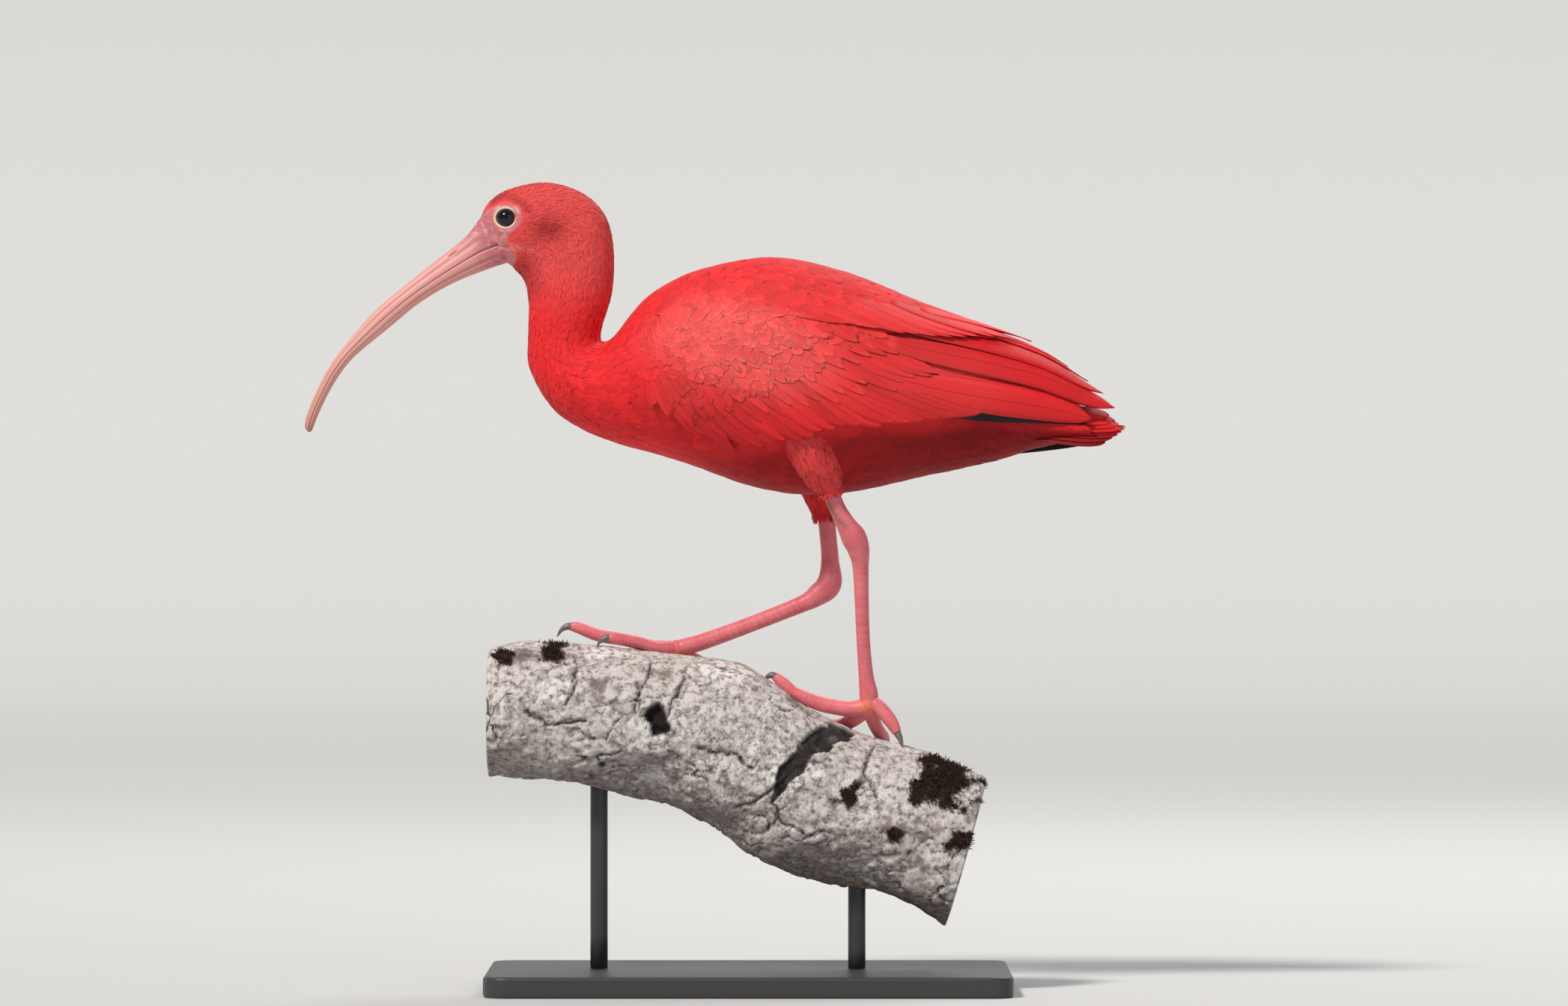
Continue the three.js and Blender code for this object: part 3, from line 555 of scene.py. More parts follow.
# Skin: one closed skin under the whole coat, bare on the face
skinSettings = {
    "rows": 300, "around": 150, "headDepth": 0.5, "neckDepth": 1.2, "bodyDepth": 2.4, "wingDepth": 4.6,
    "limbDepth": 2.0, "tuck": 12.0, "leastDeep": 0.06}
mouthCrease = [(-146, 428), (-141.5, 426.4), (-137.6, 425.6)]
eyePlace = np.array([-138.8, 10.7, 442.8])


def skinDepth(t):
    return np.interp(t, [0, 1.4, 5.6, 9, 13, 20, 22],
                     [0, skinSettings["headDepth"], 1.0, skinSettings["neckDepth"], skinSettings["bodyDepth"],
                      skinSettings["bodyDepth"], 1.5])


# Rings: (rows, columns, 3). Narrow extra rings close both ends smoothly
def closedLoft(rings, shares=(0.02, 0.35, 0.72)):
    first, last = rings[0], rings[-1]
    centre0, centre1 = first.mean(0), last.mean(0)
    head = [centre0 + (first - centre0) * s for s in shares]
    tail = [centre1 + (last - centre1) * s for s in reversed(shares)]
    full = np.concatenate([np.stack(head), rings, np.stack(tail)])
    return full.reshape(-1, 3), tubeFaces(*full.shape[:2])


# Values of a loft's rings, with those of both ends repeated for its extra rings
def withLids(values, count=3):
    return np.concatenate([np.repeat(values[:1], count, 0), values, np.repeat(values[-1:], count, 0)])


# Quads of a grid joined round, with a lid across each end
def tubeFaces(rows, columns):
    lid = np.array([(i, i + 1, columns - 2 - i, columns - 1 - i) for i in range(columns // 2 - 1)])
    return np.concatenate([gridFaces(rows, columns, closed=True), lid, lid[:, ::-1] + (rows - 1) * columns])


def makeSkin():
    s = skinSettings
    t = np.linspace(0, 1, s["rows"]) ** 1.25 * 22
    turn = np.linspace(0, 2 * pi, s["around"], endpoint=False)
    tt, qq = np.meshgrid(t, turn, indexing="ij")
    rings = onBody(tt, qq, -skinDepth(tt))
    # the first ring sinks into the root of the bill
    rings[0] = rings[0].mean(0) + (rings[0] - rings[0].mean(0)) * 0.86 + np.array([-1.6, 0, -1.0])
    # eye sockets, brow and the crease behind the mouth
    for sign in (-1, 1):
        centre = eyePlace * (1, sign, 1)
        away = np.hypot(rings[..., 0] - centre[0], rings[..., 2] - centre[2])
        near = (rings[..., 1] * sign > 4)
        rings[..., 1] -= sign * near * 3.2 * np.exp(-(away / 4.6) ** 4)
        rings[..., 1] += sign * near * 0.7 * np.exp(-((away - 8.2) / 2.2) ** 2)
    crease, _ = sideDistance(rings[..., 0], rings[..., 2], mouthCrease)
    rings[..., 1] -= np.sign(rings[..., 1]) * 0.9 * np.exp(-(crease / 0.8) ** 2) * (np.abs(rings[..., 1]) > 3)
    body = closedLoft(rings)
    wingRound = np.linspace(0, 2 * pi, 110, endpoint=False)
    xx, ww = np.meshgrid(np.linspace(-60, 186, 120), wingRound, indexing="ij")
    turned = np.where(ww > pi, 2 * pi - ww, ww)
    height = onWing(xx, turned)[..., 2]
    tuck = smoothStep(edgeHeight(xx) + 4, edgeHeight(xx) - 7, height) * s["tuck"]
    wings = closedLoft(onWing(xx, ww, -s["wingDepth"] - tuck))
    shells = []
    for index, (points, faces) in enumerate((body, wings)):
        angle = np.arctan2(points[:, 1], points[:, 2] - 360) / (2 * pi) + 0.5
        extras = {"bakeU": points[:, 0] / 420 + 0.45, "bakeV": angle * 0.45 + 0.5 * index,
                  "bare": bareAmount(points) if index == 0 else np.zeros(len(points))}
        shells.append((points, faces, extras))
    for sign in (-1, 1):
        points, faces = closedLoft(thighRings(sign, -s["limbDepth"]))
        shells.append((points, faces, {"bakeU": points[:, 2] / 300, "bakeV": points[:, 0] / 300 + 0.3,
                                       "bare": np.zeros(len(points))}))
    points, faces = closedLoft(tailRings(-s["limbDepth"]))
    shells.append((points, faces, {"bakeU": points[:, 0] / 300, "bakeV": points[:, 1] / 300 + 0.8,
                                   "bare": np.zeros(len(points))}))
    points, faces, extras = joinParts(shells)
    extras.update(markingsAndShade(points))
    bake = np.stack([extras.pop("bakeU"), extras.pop("bakeV")], -1)
    # Painted shade: the skin seen in the gaps between feathers is always a little deep red
    extras["deep"] = np.maximum(extras["deep"], s["leastDeep"])
    made = makeObject("skin", points, faces, skinMaterial(), {"OFBake": bake}, extras)
    recalculate(made)
    return made


def recalculate(made):
    work = bmesh.new()
    work.from_mesh(made.data)
    bmesh.ops.recalc_face_normals(work, faces=work.faces)
    work.to_mesh(made.data)
    work.free()


bareSkin = {
    "pink": (0.66, 0.20, 0.20),
    "mauve": (0.44, 0.11, 0.14),
    "light": (0.84, 0.48, 0.46),
}


# Colours and wrinkles of bare skin, for the face and the root of the bill
def bareGroup():
    outputs = {"Colour": (1.0, 1.0, 1.0), "Height": 0.0}
    tree, given, result = newGroup("bare face skin", {"Mauve": 0.5}, outputs)
    cloud = cloudNoise(tree, 240.0, 5.0)
    fine = cloudNoise(tree, 640.0, 4.0, stretch=(1, 1, 2.4))
    colour = mixColour(tree, given.outputs["Mauve"], bareSkin["pink"], bareSkin["mauve"])
    spots = rising(tree, cloud, 0.5, 5.0)
    colour = mixColour(tree, calc(tree, "MULTIPLY", spots, 0.65), colour, bareSkin["light"])
    folds = rising(tree, fine, 0.46, -7.0)
    colour = mixColour(tree, calc(tree, "MULTIPLY", folds, 0.45), colour, bareSkin["mauve"])
    tree.links.new(colour, result.inputs["Colour"])
    tree.links.new(calc(tree, "ADD", fine, cloud), result.inputs["Height"])
    return tree


bareColours = bareGroup()


def skinMaterial():
    material, tree, shader = newMaterial("skin", 0.55, specular=0.35)
    bare = attribute(tree, "bare")
    feathered = useGroup(tree, plumageColours, {
        "Pale": attribute(tree, "pale"), "Deep": attribute(tree, "deep"), "Black": attribute(tree, "black")})
    face = useGroup(tree, bareColours, {"Mauve": 0.35})
    connect(tree, mixColour(tree, bare, feathered.outputs[0], face.outputs[0]), shader, "Base Color")
    addBump(tree, shader, face.outputs[1], 0.6, 0.001)
    return material


# Limbs: smooth tubes along rows of X, Y, Z, radius

# Rings (steps, around, 3) along a limb. shape(share, turn) may swell the radius
def limbRings(rows, steps, around, shape=None, grow=0.0):
    share = np.linspace(0, 1, steps)
    line = along(rows, share)
    ahead = np.gradient(line[:, :3], axis=0)
    ahead /= np.linalg.norm(ahead, axis=1, keepdims=True)
    across = np.zeros_like(ahead)
    hand = np.array([0.0, 1.0, 0.0])
    for i in range(steps):
        hand = hand - ahead[i] * hand.dot(ahead[i])
        hand /= np.linalg.norm(hand)
        across[i] = hand
    third = np.cross(ahead, across)
    turn = np.linspace(0, 2 * pi, around, endpoint=False)
    radius = np.broadcast_to(line[:, 3:4] + grow, (steps, around)).copy()
    if shape is not None:
        radius = radius * shape(share[:, None], turn[None, :])
    return (line[:, None, :3] + across[:, None] * (radius * np.cos(turn))[..., None]
            + third[:, None] * (radius * np.sin(turn))[..., None])


legRows = {
    "left": {
        "thigh": [(26, -30, 326, 17), (36, -29, 310, 15), (42, -26.5, 297, 12), (46.5, -24, 287, 7.5)],
        "shin": [(43, -25, 296, 5), (45.6, -24, 289, 5), (50.5, -22, 277, 4.7), (55.5, -20, 267.5, 5.6),
                 (60, -18.5, 260, 7.2), (63, -17, 252, 6.2), (64.2, -14.8, 240, 4.5), (65.4, -10, 205, 3.9),
                 (67.2, -5.5, 181, 4.3), (68.8, -4, 170, 5.4), (69, -3.8, 163.5, 5.2)]},
    "right": {
        "thigh": [(30, 30, 322, 17), (36, 29, 304, 15), (41, 27, 289, 12), (44.5, 25, 273, 7.8)],
        "shin": [(42, 26, 285, 5), (44.2, 25, 275, 5.2), (45.5, 23.5, 262, 4.9), (46.8, 22, 246, 5.2),
                 (46.2, 21, 233, 7.2), (39.5, 20.4, 226.4, 6.4), (30, 19.2, 221, 4.8), (0, 15, 209.2, 4.5),
                 (-26, 11.4, 199.8, 4.7), (-38, 10.2, 196.6, 4.7), (-42, 10, 195.4, 4.3)]}}


def thighRings(sign, grow):
    rows = legRows["right" if sign > 0 else "left"]["thigh"]
    return limbRings(rows, 40, 28, lambda share, turn: 1 - 0.3 * smoothStep(0.75, 1, share), grow)


def tailRings(grow, around=40):
    rows = np.array([(120, 299, 366, 31), (143, 304.2, 350.4, 23), (160, 309, 342, 19), (176, 312.6, 332, 15),
                     (188, 315.4, 324.5, 10)])
    line = along(rows, np.linspace(0, 1, 30))
    turn = np.linspace(0, 2 * pi, around, endpoint=False)
    x = np.repeat(line[:, :1], around, 1)
    half = line[:, 3:4] + grow
    tall = (line[:, 2:3] - line[:, 1:2]) / 2 + grow
    return np.stack([x, half * np.sin(turn), (line[:, 1:2] + line[:, 2:3]) / 2 + tall * np.cos(turn)], -1)


skin = makeSkin()
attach(skin, "root")
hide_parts("head", "neck_upper", "neck_lower", "torso", "wing_left", "wing_right", "tail",
            "thigh_left", "thigh_right")
print("Skin ready")

# Small feathers of the head, neck, breast and belly, with sizes that run along the body's rows t
bodyCoat = {
    "rows": [1.2, 2.5, 4, 5.6, 7.5, 9.5, 12, 14, 17, 20, 22],
    "length": [2.2, 3.0, 3.8, 4.6, 6.0, 8.5, 13, 17, 20, 23, 25],
    "width": [1.1, 1.4, 1.7, 2.0, 2.9, 5.0, 9.5, 13, 15, 15, 13],
    "spacing": [0.9, 1.0, 1.15, 1.35, 1.6, 2.0, 2.8, 3.8, 4.8, 5.4, 5.4],
    "surplus": 1.35, "apart": 0.62, "seed": 41,
}


def bodySize(key, t):
    return np.interp(t, bodyCoat["rows"], bodyCoat[key])


# Millimetres per row of the body's table and per radian round it
def rowPace(t, turn):
    e = 0.01
    pace = np.linalg.norm(onBody(t + e, turn) - onBody(t - e, turn), axis=-1) / (2 * e)
    wide = np.linalg.norm(onBody(t, turn + e) - onBody(t, turn - e), axis=-1) / (2 * e)
    return np.maximum(pace, 0.6), np.maximum(wide, 0.6)


# Even places over the body between two rows, thinned to the spacing wanted there
def bodyPlaces(t0, t1, rng):
    turns = np.linspace(-pi, pi, 61)[:-1]
    rows = np.linspace(t0, t1, 60)
    tt, qq = np.meshgrid(rows, turns, indexing="ij")
    pace, wide = rowPace(tt, qq)
    density = pace * wide / bodySize("spacing", tt) ** 2
    area = density.sum() * (rows[1] - rows[0]) * (turns[1] - turns[0])
    flat = (density / density.sum()).ravel()
    count = int(area * bodyCoat["surplus"])
    cells = rng.choice(len(flat), count, p=flat)
    t = tt.ravel()[cells] + rng.uniform(-0.5, 0.5, count) * (rows[1] - rows[0])
    q = qq.ravel()[cells] + rng.uniform(-0.5, 0.5, count) * (turns[1] - turns[0])
    # even them out: drop a place that lies too near an earlier one
    points = onBody(t, q)
    keep = thinned(points, bodySize("spacing", t) * bodyCoat["apart"])
    return t[keep], q[keep]


# Indices of the points that keep the given distance from those kept before
def thinned(points, reach):
    cell = float(reach.max())
    steps = (-1, 0, 1)
    around = [(dx, dy, dz) for dx in steps for dy in steps for dz in steps]
    boxes, kept = {}, []
    for i, point in enumerate(points):
        x, y, z = (point // cell).astype(int)
        beside = [j for dx, dy, dz in around for j in boxes.get((x + dx, y + dy, z + dz), ())]
        if all(((points[j] - point) ** 2).sum() >= reach[i] ** 2 for j in beside):
            boxes.setdefault((x, y, z), []).append(i)
            kept.append(i)
    return np.array(kept)


# A turn as a share of the way round, for the bake map
def turnShare(turn):
    return (turn + 3 * pi) % (2 * pi) / (2 * pi)


def coatBody(t0, t1, form, across, rows, liftTip, rag, keepOut=None):
    rng = np.random.default_rng(bodyCoat["seed"] + int(t0 * 10))
    t, q = bodyPlaces(t0, t1, rng)
    place = onBody(t, q)
    keep = bareAmount(place) < 0.35
    if keepOut is not None:
        keep &= ~keepOut(place)
    t, q, place = t[keep], q[keep], place[keep]
    order = np.argsort(-t)
    t, q = t[order], q[order]
    pace, wide = rowPace(t, q)
    length = bodySize("length", t) * rng.uniform(0.85, 1.15, len(t))
    swing = rng.normal(0, 0.13, len(t))
    # a sharp bend packs the rows close on its inside, so a step is held back there
    dt = np.minimum(length * np.cos(swing) / pace, 1.3)
    tip = np.stack([t + dt, q + length * np.sin(swing) / wide], -1)
    root = np.stack([t, q], -1)
    depth = -skinDepth(t)
    width = bodySize("width", t) * rng.uniform(0.85, 1.15, len(t))
    lift = (depth - 0.1, np.minimum(depth + liftTip * bodySize("length", t), 0.4))
    return layVanes(onBody, root, tip, width, lift, form, rng, across=across, rag=rag, rows=rows, crown=0.05,
                    unwrap=lambda a, b: (a / 24, turnShare(b)))


# True where the folded wing or the mantle covers the body
def underWing(points):
    x, y, z = points[..., 0], np.abs(points[..., 1]), points[..., 2]
    front = np.interp(z, [306, 330, 350, 372, 392, 420], [-14, -38, -50, -56, -46, -34])
    return (x > front + 8) & (z > edgeHeight(x) + 6)


makeCoat("head_feathers", [coatBody(1.0, 3.2, "strand", 2, 5, 0.14, 0.02),
                           coatBody(3.2, 5.6, "strand", 2, 5, 0.12, 0.02)], bodyFeather)
makeCoat("neck_feathers", [coatBody(5.6, 9.5, "strand", 2, 5, 0.08, 0.02),
                           coatBody(9.5, 12.5, "strand", 2, 6, 0.06, 0.02)], bodyFeather)
makeCoat("breast_feathers", [coatBody(12.5, 17, "round", 4, 7, 0.045, 0.025, underWing)], bodyFeather)
makeCoat("belly_feathers", [coatBody(17, 21.6, "round", 4, 7, 0.05, 0.03, underWing)], bodyFeather)
print("Body feathers ready")

# Wing feathers: each row's roots and tips run along two lines in the side view
wingTracts = {
    "primaries": {
        "count": 4, "width": (9, 11), "lift": (-4.6, -3.4), "form": "pointed", "thick": 0.45,
        "layer": 0.3, "rag": 0.004,
        "roots": [(92, 333), (96, 340), (104, 350)],
        "tips": [(190, 323.8), (193, 328), (194, 333)]},
    "secondaries": {
        "count": 18, "width": (14, 15), "lift": (-4.2, -3.0), "form": "long", "thick": 0.4,
        "layer": 0.5, "rag": 0.006,
        "roots": [(-34, 342), (-8, 350), (22, 352), (52, 350), (78, 352)],
        "tips": [(2, 310.6), (30, 316.8), (60, 323.6), (100, 326.4), (131, 332.6)]},
    "tertials": {
        "count": 5, "width": (19, 14), "lift": (-3.4, -2.6), "form": "long", "thick": 0.45,
        "layer": 2.0, "rag": 0.006, "uneven": 0.0, "stray": 0.2,
        "roots": [(70, 356), (76, 374), (84, 384), (96, 389), (100, 392)],
        "tips": [(196.5, 327.5), (209, 335.5), (203, 344), (194, 352), (183, 360)]},
    "greaterCoverts": {
        "count": 20, "width": (12, 11), "lift": (-3.7, -2.8), "form": "pointed", "thick": 0.25, "layer": 0.1,
        "rag": 0.01, "uneven": 0.07,
        "roots": [(-46, 346), (-22, 358), (6, 368), (34, 373), (62, 377)],
        "tips": [(-12, 309.8), (6, 324), (36, 337), (72, 346), (112, 352)]},
    "medianCoverts": {
        "count": 21, "width": (11, 11), "lift": (-3.3, -2.4), "form": "pointed", "thick": 0.2, "layer": 0.2,
        "rag": 0.015, "uneven": 0.09,
        "roots": [(-54, 354), (-38, 367), (-14, 378), (12, 384), (42, 388)],
        "tips": [(-32, 316.6), (-14, 330), (10, 344), (44, 356), (84, 366)]},
    "innerCoverts": {
        "count": 25, "width": (9, 12), "lift": (-2.8, -1.8), "form": "round", "thick": 0.2, "layer": 0.4,
        "rag": 0.02, "uneven": 0.08,
        "roots": [(-58, 364), (-48, 378), (-30, 389), (-4, 394), (28, 396)],
        "tips": [(-46, 331), (-30, 344), (-10, 356), (18, 367), (58, 376)]},
    "scapulars": {
        "count": 12, "width": (14, 11), "lift": (-2.0, -0.6), "form": "pointed", "thick": 0.3,
        "layer": 2.2, "rag": 0.01,
        "roots": [(0, 398), (34, 401), (66, 398), (98, 390)],
        "tips": [(52, 384), (86, 377), (112, 374), (136, 373), (160, 371.5)]},
}
wingSeed = 77


# Side view (X, Z) to the wing surface's own (X, turn)
def sideToWing(points):
    points = np.asarray(points, float)
    return np.stack([points[..., 0], wingTurn(points[..., 0], points[..., 1])], -1)


def wingUnwrap(x, turn):
    return (x + 80) / 320, turn / pi


def layTract(name, side, rng):
    tract = wingTracts[name]
    share = np.linspace(0, 1, tract["count"])
    roots = along(tract["roots"], share) + rng.normal(0, tract.get("stray", 1.0), (tract["count"], 2))
    tips = along(tract["tips"], share)
    heading = tips - roots
    tips = tips + heading * rng.normal(0, tract.get("uneven", 0.03), (tract["count"], 1))
    width = np.interp(share, [0, 1], tract["width"])
    raised = tract["layer"] * share
    lift = (tract["lift"][0] + raised, tract["lift"][1] + raised)
    return layVanes(onWing, sideToWing(roots), sideToWing(tips), width, lift, tract["form"], rng,
                    across=6, thick=tract["thick"], crown=0.03, tilt=-0.3, rag=tract["rag"], side=side,
                    unwrap=wingUnwrap, rows=14)


# Black on the outermost primaries, which show as slivers under the folded wing
def blackTips(points):
    x, z = points[:, 0], points[:, 2]
    return smoothStep(112, 122, x) * smoothStep(336, 333, z)


# Even places (x, z) in a side view region given by its corners
def scatterWing(region, spacing, rng, tries=26000):
    low, high = np.min(region, 0), np.max(region, 0)
    points = low + rng.random((tries, 2)) * (high - low)
    points = points[insideOutline(points[:, 0], points[:, 1], region)]
    pq = sideToWing(points)
    solid = onWing(pq[:, 0], pq[:, 1])
    keep = thinned(solid, np.full(len(points), spacing))
    return points[keep]


lesserCoverts = {
    "region": [(-60, 356), (-61, 372), (-54, 388), (-36, 398), (-12, 402), (22, 402), (56, 396), (66, 386),
               (46, 375), (18, 363), (-8, 353), (-28, 346), (-46, 346), (-55, 350)],
    "border": [(-55, 346), (-28, 346), (-8, 353), (18, 363), (46, 375), (66, 386)],
    "spacing": 3.0, "length": 11, "width": 6.8,
}
mantle = {"spacing": 4.0, "length": (14, 32), "width": (11, 15), "x": (-52, 118)}


def lesserVanes(side, rng):
    s = lesserCoverts
    places = scatterWing(s["region"], s["spacing"], rng)
    order = np.argsort(-places[:, 0])
    places = places[order]
    # they point down at the wrist and swing back towards the tail
    slope = np.interp(places[:, 0], [-60, -30, 10, 60], [-1.25, -1.15, -0.85, -0.4])
    slope = slope + rng.normal(0, 0.12, len(places))
    border = np.interp(places[:, 0], [p[0] for p in s["border"]], [p[1] for p in s["border"]])
    low = smoothStep(22, 0, places[:, 1] - border)
    length = (s["length"] + 8 * low) * rng.uniform(0.8, 1.2, len(places))
    tips = places + np.stack([np.cos(slope) * length, np.sin(slope) * length], -1)
    front = smoothStep(-48, -60, places[:, 0])
    lift = (-2.3 - 1.2 * front - 0.6 * low, -1.2 - 0.7 * front - 1.0 * low)
    return layVanes(onWing, sideToWing(places), sideToWing(tips), s["width"], lift, "round", rng, across=4,
                    rag=0.03, side=side, unwrap=wingUnwrap, rows=7, crown=0.03)


def mantleVanes(side, rng):
    s = mantle
    x0, x1 = s["x"]
    places = staggered(x0, x1, 0.0, 1.0, lambda p: s["spacing"] * (1 + 0.5 * (p - x0) / (x1 - x0)),
                       lambda p: s["spacing"] * 1.1 / (mantleReach(p) * wingSection(p)[2]), rng)
    share = (places[:, 0] - x0) / (x1 - x0)
    reach = mantleReach(places[:, 0])
    turn = np.clip(places[:, 1], 0, 1) * reach
    order = np.argsort(-places[:, 0])
    share, turn, x = share[order], turn[order], places[order, 0]
    length = np.interp(share, [0, 1], s["length"]) * rng.uniform(0.85, 1.15, len(x))
    half = wingSection(x)[2]
    swing = 0.12 + rng.normal(0, 0.1, len(x))
    root = np.stack([x, turn], -1)
    tip = np.stack([x + length * np.cos(swing), turn + length * np.sin(swing) / half * 0.25], -1)
    lift = (-2.6 + 1.2 * share, -0.9 + 1.2 * share)
    width = np.interp(share, [0, 1], s["width"])
    return layVanes(onWing, root, tip, width, lift, "round", rng, across=4, rag=0.02, side=side,
                    unwrap=wingUnwrap, rows=7, crown=0.04)


def mantleReach(x):
    return np.interp(x, [-52, -20, 30, 80, 118], [1.0, 0.98, 0.92, 0.7, 0.5])


# The right wing's outermost primaries hang a little lower and show as a black line under the tail
lowPrimaries = {"roots": np.array([(118.0, 307.5), (112.0, 309)]),
                "tips": np.array([(201.5, 314.4), (190, 313.2)]), "width": 5.5, "out": 15}


# A flat sheet along X and Z under the right wing
def onFarSide(p, q, lift=0):
    return np.stack([p + 0 * q, lowPrimaries["out"] + lift + 0 * p, q + 0 * p], -1)


def lowVanes(rng):
    s = lowPrimaries
    return layVanes(onFarSide, s["roots"], s["tips"], s["width"], (0, 0.6), "pointed", rng, across=6,
                    thick=0.45, rag=0.004, rows=14, unwrap=lambda a, b: (a / 240, b / 400))


for side, sideName in ((-1, "left"), (1, "right")):
    rng = np.random.default_rng(wingSeed + side)
    flight = [layTract(name, side, rng) for name in ("primaries", "secondaries", "tertials")]
    if side > 0:
        flight.append(lowVanes(rng))
    # the primaries have black tips, and the low ones of the right wing are black all along
    for index, part in enumerate(flight):
        part[2]["black"] = blackTips(part[0]) if index == 0 else np.full(len(part[0]), float(index == 3))
    makeCoat("flight_feathers_" + sideName, flight, flightFeather)
    coverts = [layTract(name, side, rng)
               for name in ("greaterCoverts", "medianCoverts", "innerCoverts", "scapulars")]
    makeCoat("wing_coverts_" + sideName, coverts, flightFeather)
    makeCoat("shoulder_feathers_" + sideName, [lesserVanes(side, rng), mantleVanes(side, rng)], bodyFeather)
print("Wings ready")

# Tail: a fan of rectrices, and coverts over and under their roots
tailFan = {"count": 12, "root": (150, 7), "tip": (216, 15), "shorter": 12, "width": 15, "layer": 0.95,
           "height": 324.6, "sag": 0.021, "seed": 5}


# A flat sheet behind the body: p along X, q across in mm, sagging at the sides
def onTail(p, q, lift=0):
    return np.stack([p + 0 * q, q + 0 * p, 0 * p - tailFan["sag"] * q ** 2 + lift + tailFan["height"]], -1)


def tailUnwrap(x, across):
    return x / 240, across / 60 + 0.5


def tailVanes():
    s = tailFan
    rng = np.random.default_rng(s["seed"])
    parts = []
    last = s["count"] - 1
    for i in range(s["count"]):
        spread = 2 * i / last - 1
        outer = abs(spread)
        # the outer feathers lie under the inner ones, and those of one side just over the other's
        level = -math.floor(last * outer) * s["layer"] * 0.5 + (s["layer"] / 2 if spread > 0 else 0)
        root = np.array([[s["root"][0], s["root"][1] * spread]])
        tip = np.array([[s["tip"][0] - s["shorter"] * outer ** 2, s["tip"][1] * spread]])
        parts.append(layVanes(onTail, root, tip, s["width"], (level + 3.0, level * 0.8 - 1.2), "long", rng,
                              across=6, thick=0.45, crown=0.02, rag=0.004, rows=14,
                              tilt=0.2 * np.sign(spread), unwrap=tailUnwrap))
    return parts


# The covered root of the tail: p along X, q the turn from its top
def onRump(p, q, lift=0):
    rows = np.array([(110, 297, 372, 34), (143, 304.2, 350.4, 23.5), (160, 310, 342, 20),
                     (180, 314.6, 330, 17), (200, 316.5, 323, 15)])
    low, high, half = (np.interp(p, rows[:, 0], rows[:, k]) for k in (1, 2, 3))
    z = (low + high) / 2 + ((high - low) / 2 + lift) * np.cos(q)
    return np.stack([p + 0 * q, (half + lift) * np.sin(q), z], -1)


def rumpVanes():
    rng = np.random.default_rng(tailFan["seed"] + 1)
    stepRound = lambda p: 6.0 / np.interp(p, [110, 180], [36, 18])
    places = staggered(112, 176, -pi, pi, lambda p: 5.0, stepRound, rng)
    places = places[np.argsort(-places[:, 0])]
    length = np.interp(places[:, 0], [112, 176], [20, 26]) * rng.uniform(0.85, 1.15, len(places))
    tips = places + np.stack([length, rng.normal(0, 0.08, len(places))], -1)
    return layVanes(onRump, places, tips, 12, (-1.5, 0.3), "round", rng, across=4, rag=0.04, rows=7,
                    crown=0.04, unwrap=lambda a, b: (a / 240, turnShare(b)))


# Tips of the middle feathers: X, Y and the height over the fan
upperTail = {
    "root": 150, "width": 17, "crown": 0.27,
    "tips": [(213.6, -5.5, -2.4), (214, 5.5, -1.6), (212, -4.5, -0.4), (212.4, 5, 0.4), (209.8, -4, 1.6),
             (210.2, 4, 2.6), (206.6, -3.4, 4.6), (207, 3.4, 5.6)]}


# The middle feathers of the tail, stepped up from the fan to the wing tips
def upperTailVanes():
    s = upperTail
    rng = np.random.default_rng(tailFan["seed"] + 2)
    parts = []
    for x, y, height in s["tips"]:
        root = np.array([[s["root"], 0.4 * y]])
        parts.append(layVanes(onTail, root, np.array([[x, y]]), s["width"], (height + 4, height), "long", rng,
                              across=6, thick=0.45, crown=s["crown"], rag=0.004, rows=14, unwrap=tailUnwrap))
    return parts


makeCoat("tail_feathers", tailVanes() + upperTailVanes(), flightFeather)
makeCoat("rump_feathers", [rumpVanes()], bodyFeather)

# Thighs: soft feathers that end in ragged locks over the bare leg
thighCoat = {
    # The left thigh's coat is painted paler than the right's: painted light on the near thigh, painted shade
    # on the far one; both keep only a little of the painted shade under the wing
    "spacing": 0.045, "turn": 0.3, "length": 15, "thigh": 48, "width": 4.2, "legRadius": 5.6, "seed": 19,
    "deepShare": 0.15, "pale": {"left": 0.3, "right": 0.1}}


def onThigh(rows):
    line = np.array(rows, float)
    count = 120
    fine = along(line, np.linspace(0, 1, count))
    # the line runs on past the thigh, over the top of the bare leg
    beyond = np.arange(1, 49)
    extra = fine[-1] + (fine[-1] - fine[-12]) / 11 * beyond[:, None] * (1, 1, 1, 0)
    extra[:, 3] = np.linspace(fine[-1, 3], thighCoat["legRadius"], len(beyond))
    fine = np.concatenate([fine, extra])
    ahead = np.gradient(fine[:, :3], axis=0)
    ahead /= np.linalg.norm(ahead, axis=1, keepdims=True)
    across = np.cross(ahead, (0.0, 1.0, 0.0))
    across /= np.linalg.norm(across, axis=1, keepdims=True)
    third = np.cross(ahead, across)
    steps = np.arange(len(fine)) / (count - 1)

    def surface(p, q, lift=0):
        pick = lambda table: np.stack([np.interp(p, steps, table[:, k]) for k in range(3)], -1)
        centre, a, b = pick(fine[:, :3]), pick(across), pick(third)
        radius = np.interp(p, steps, fine[:, 3]) + lift
        return centre + a * (radius * np.cos(q))[..., None] + b * (radius * np.sin(q))[..., None]
    return surface


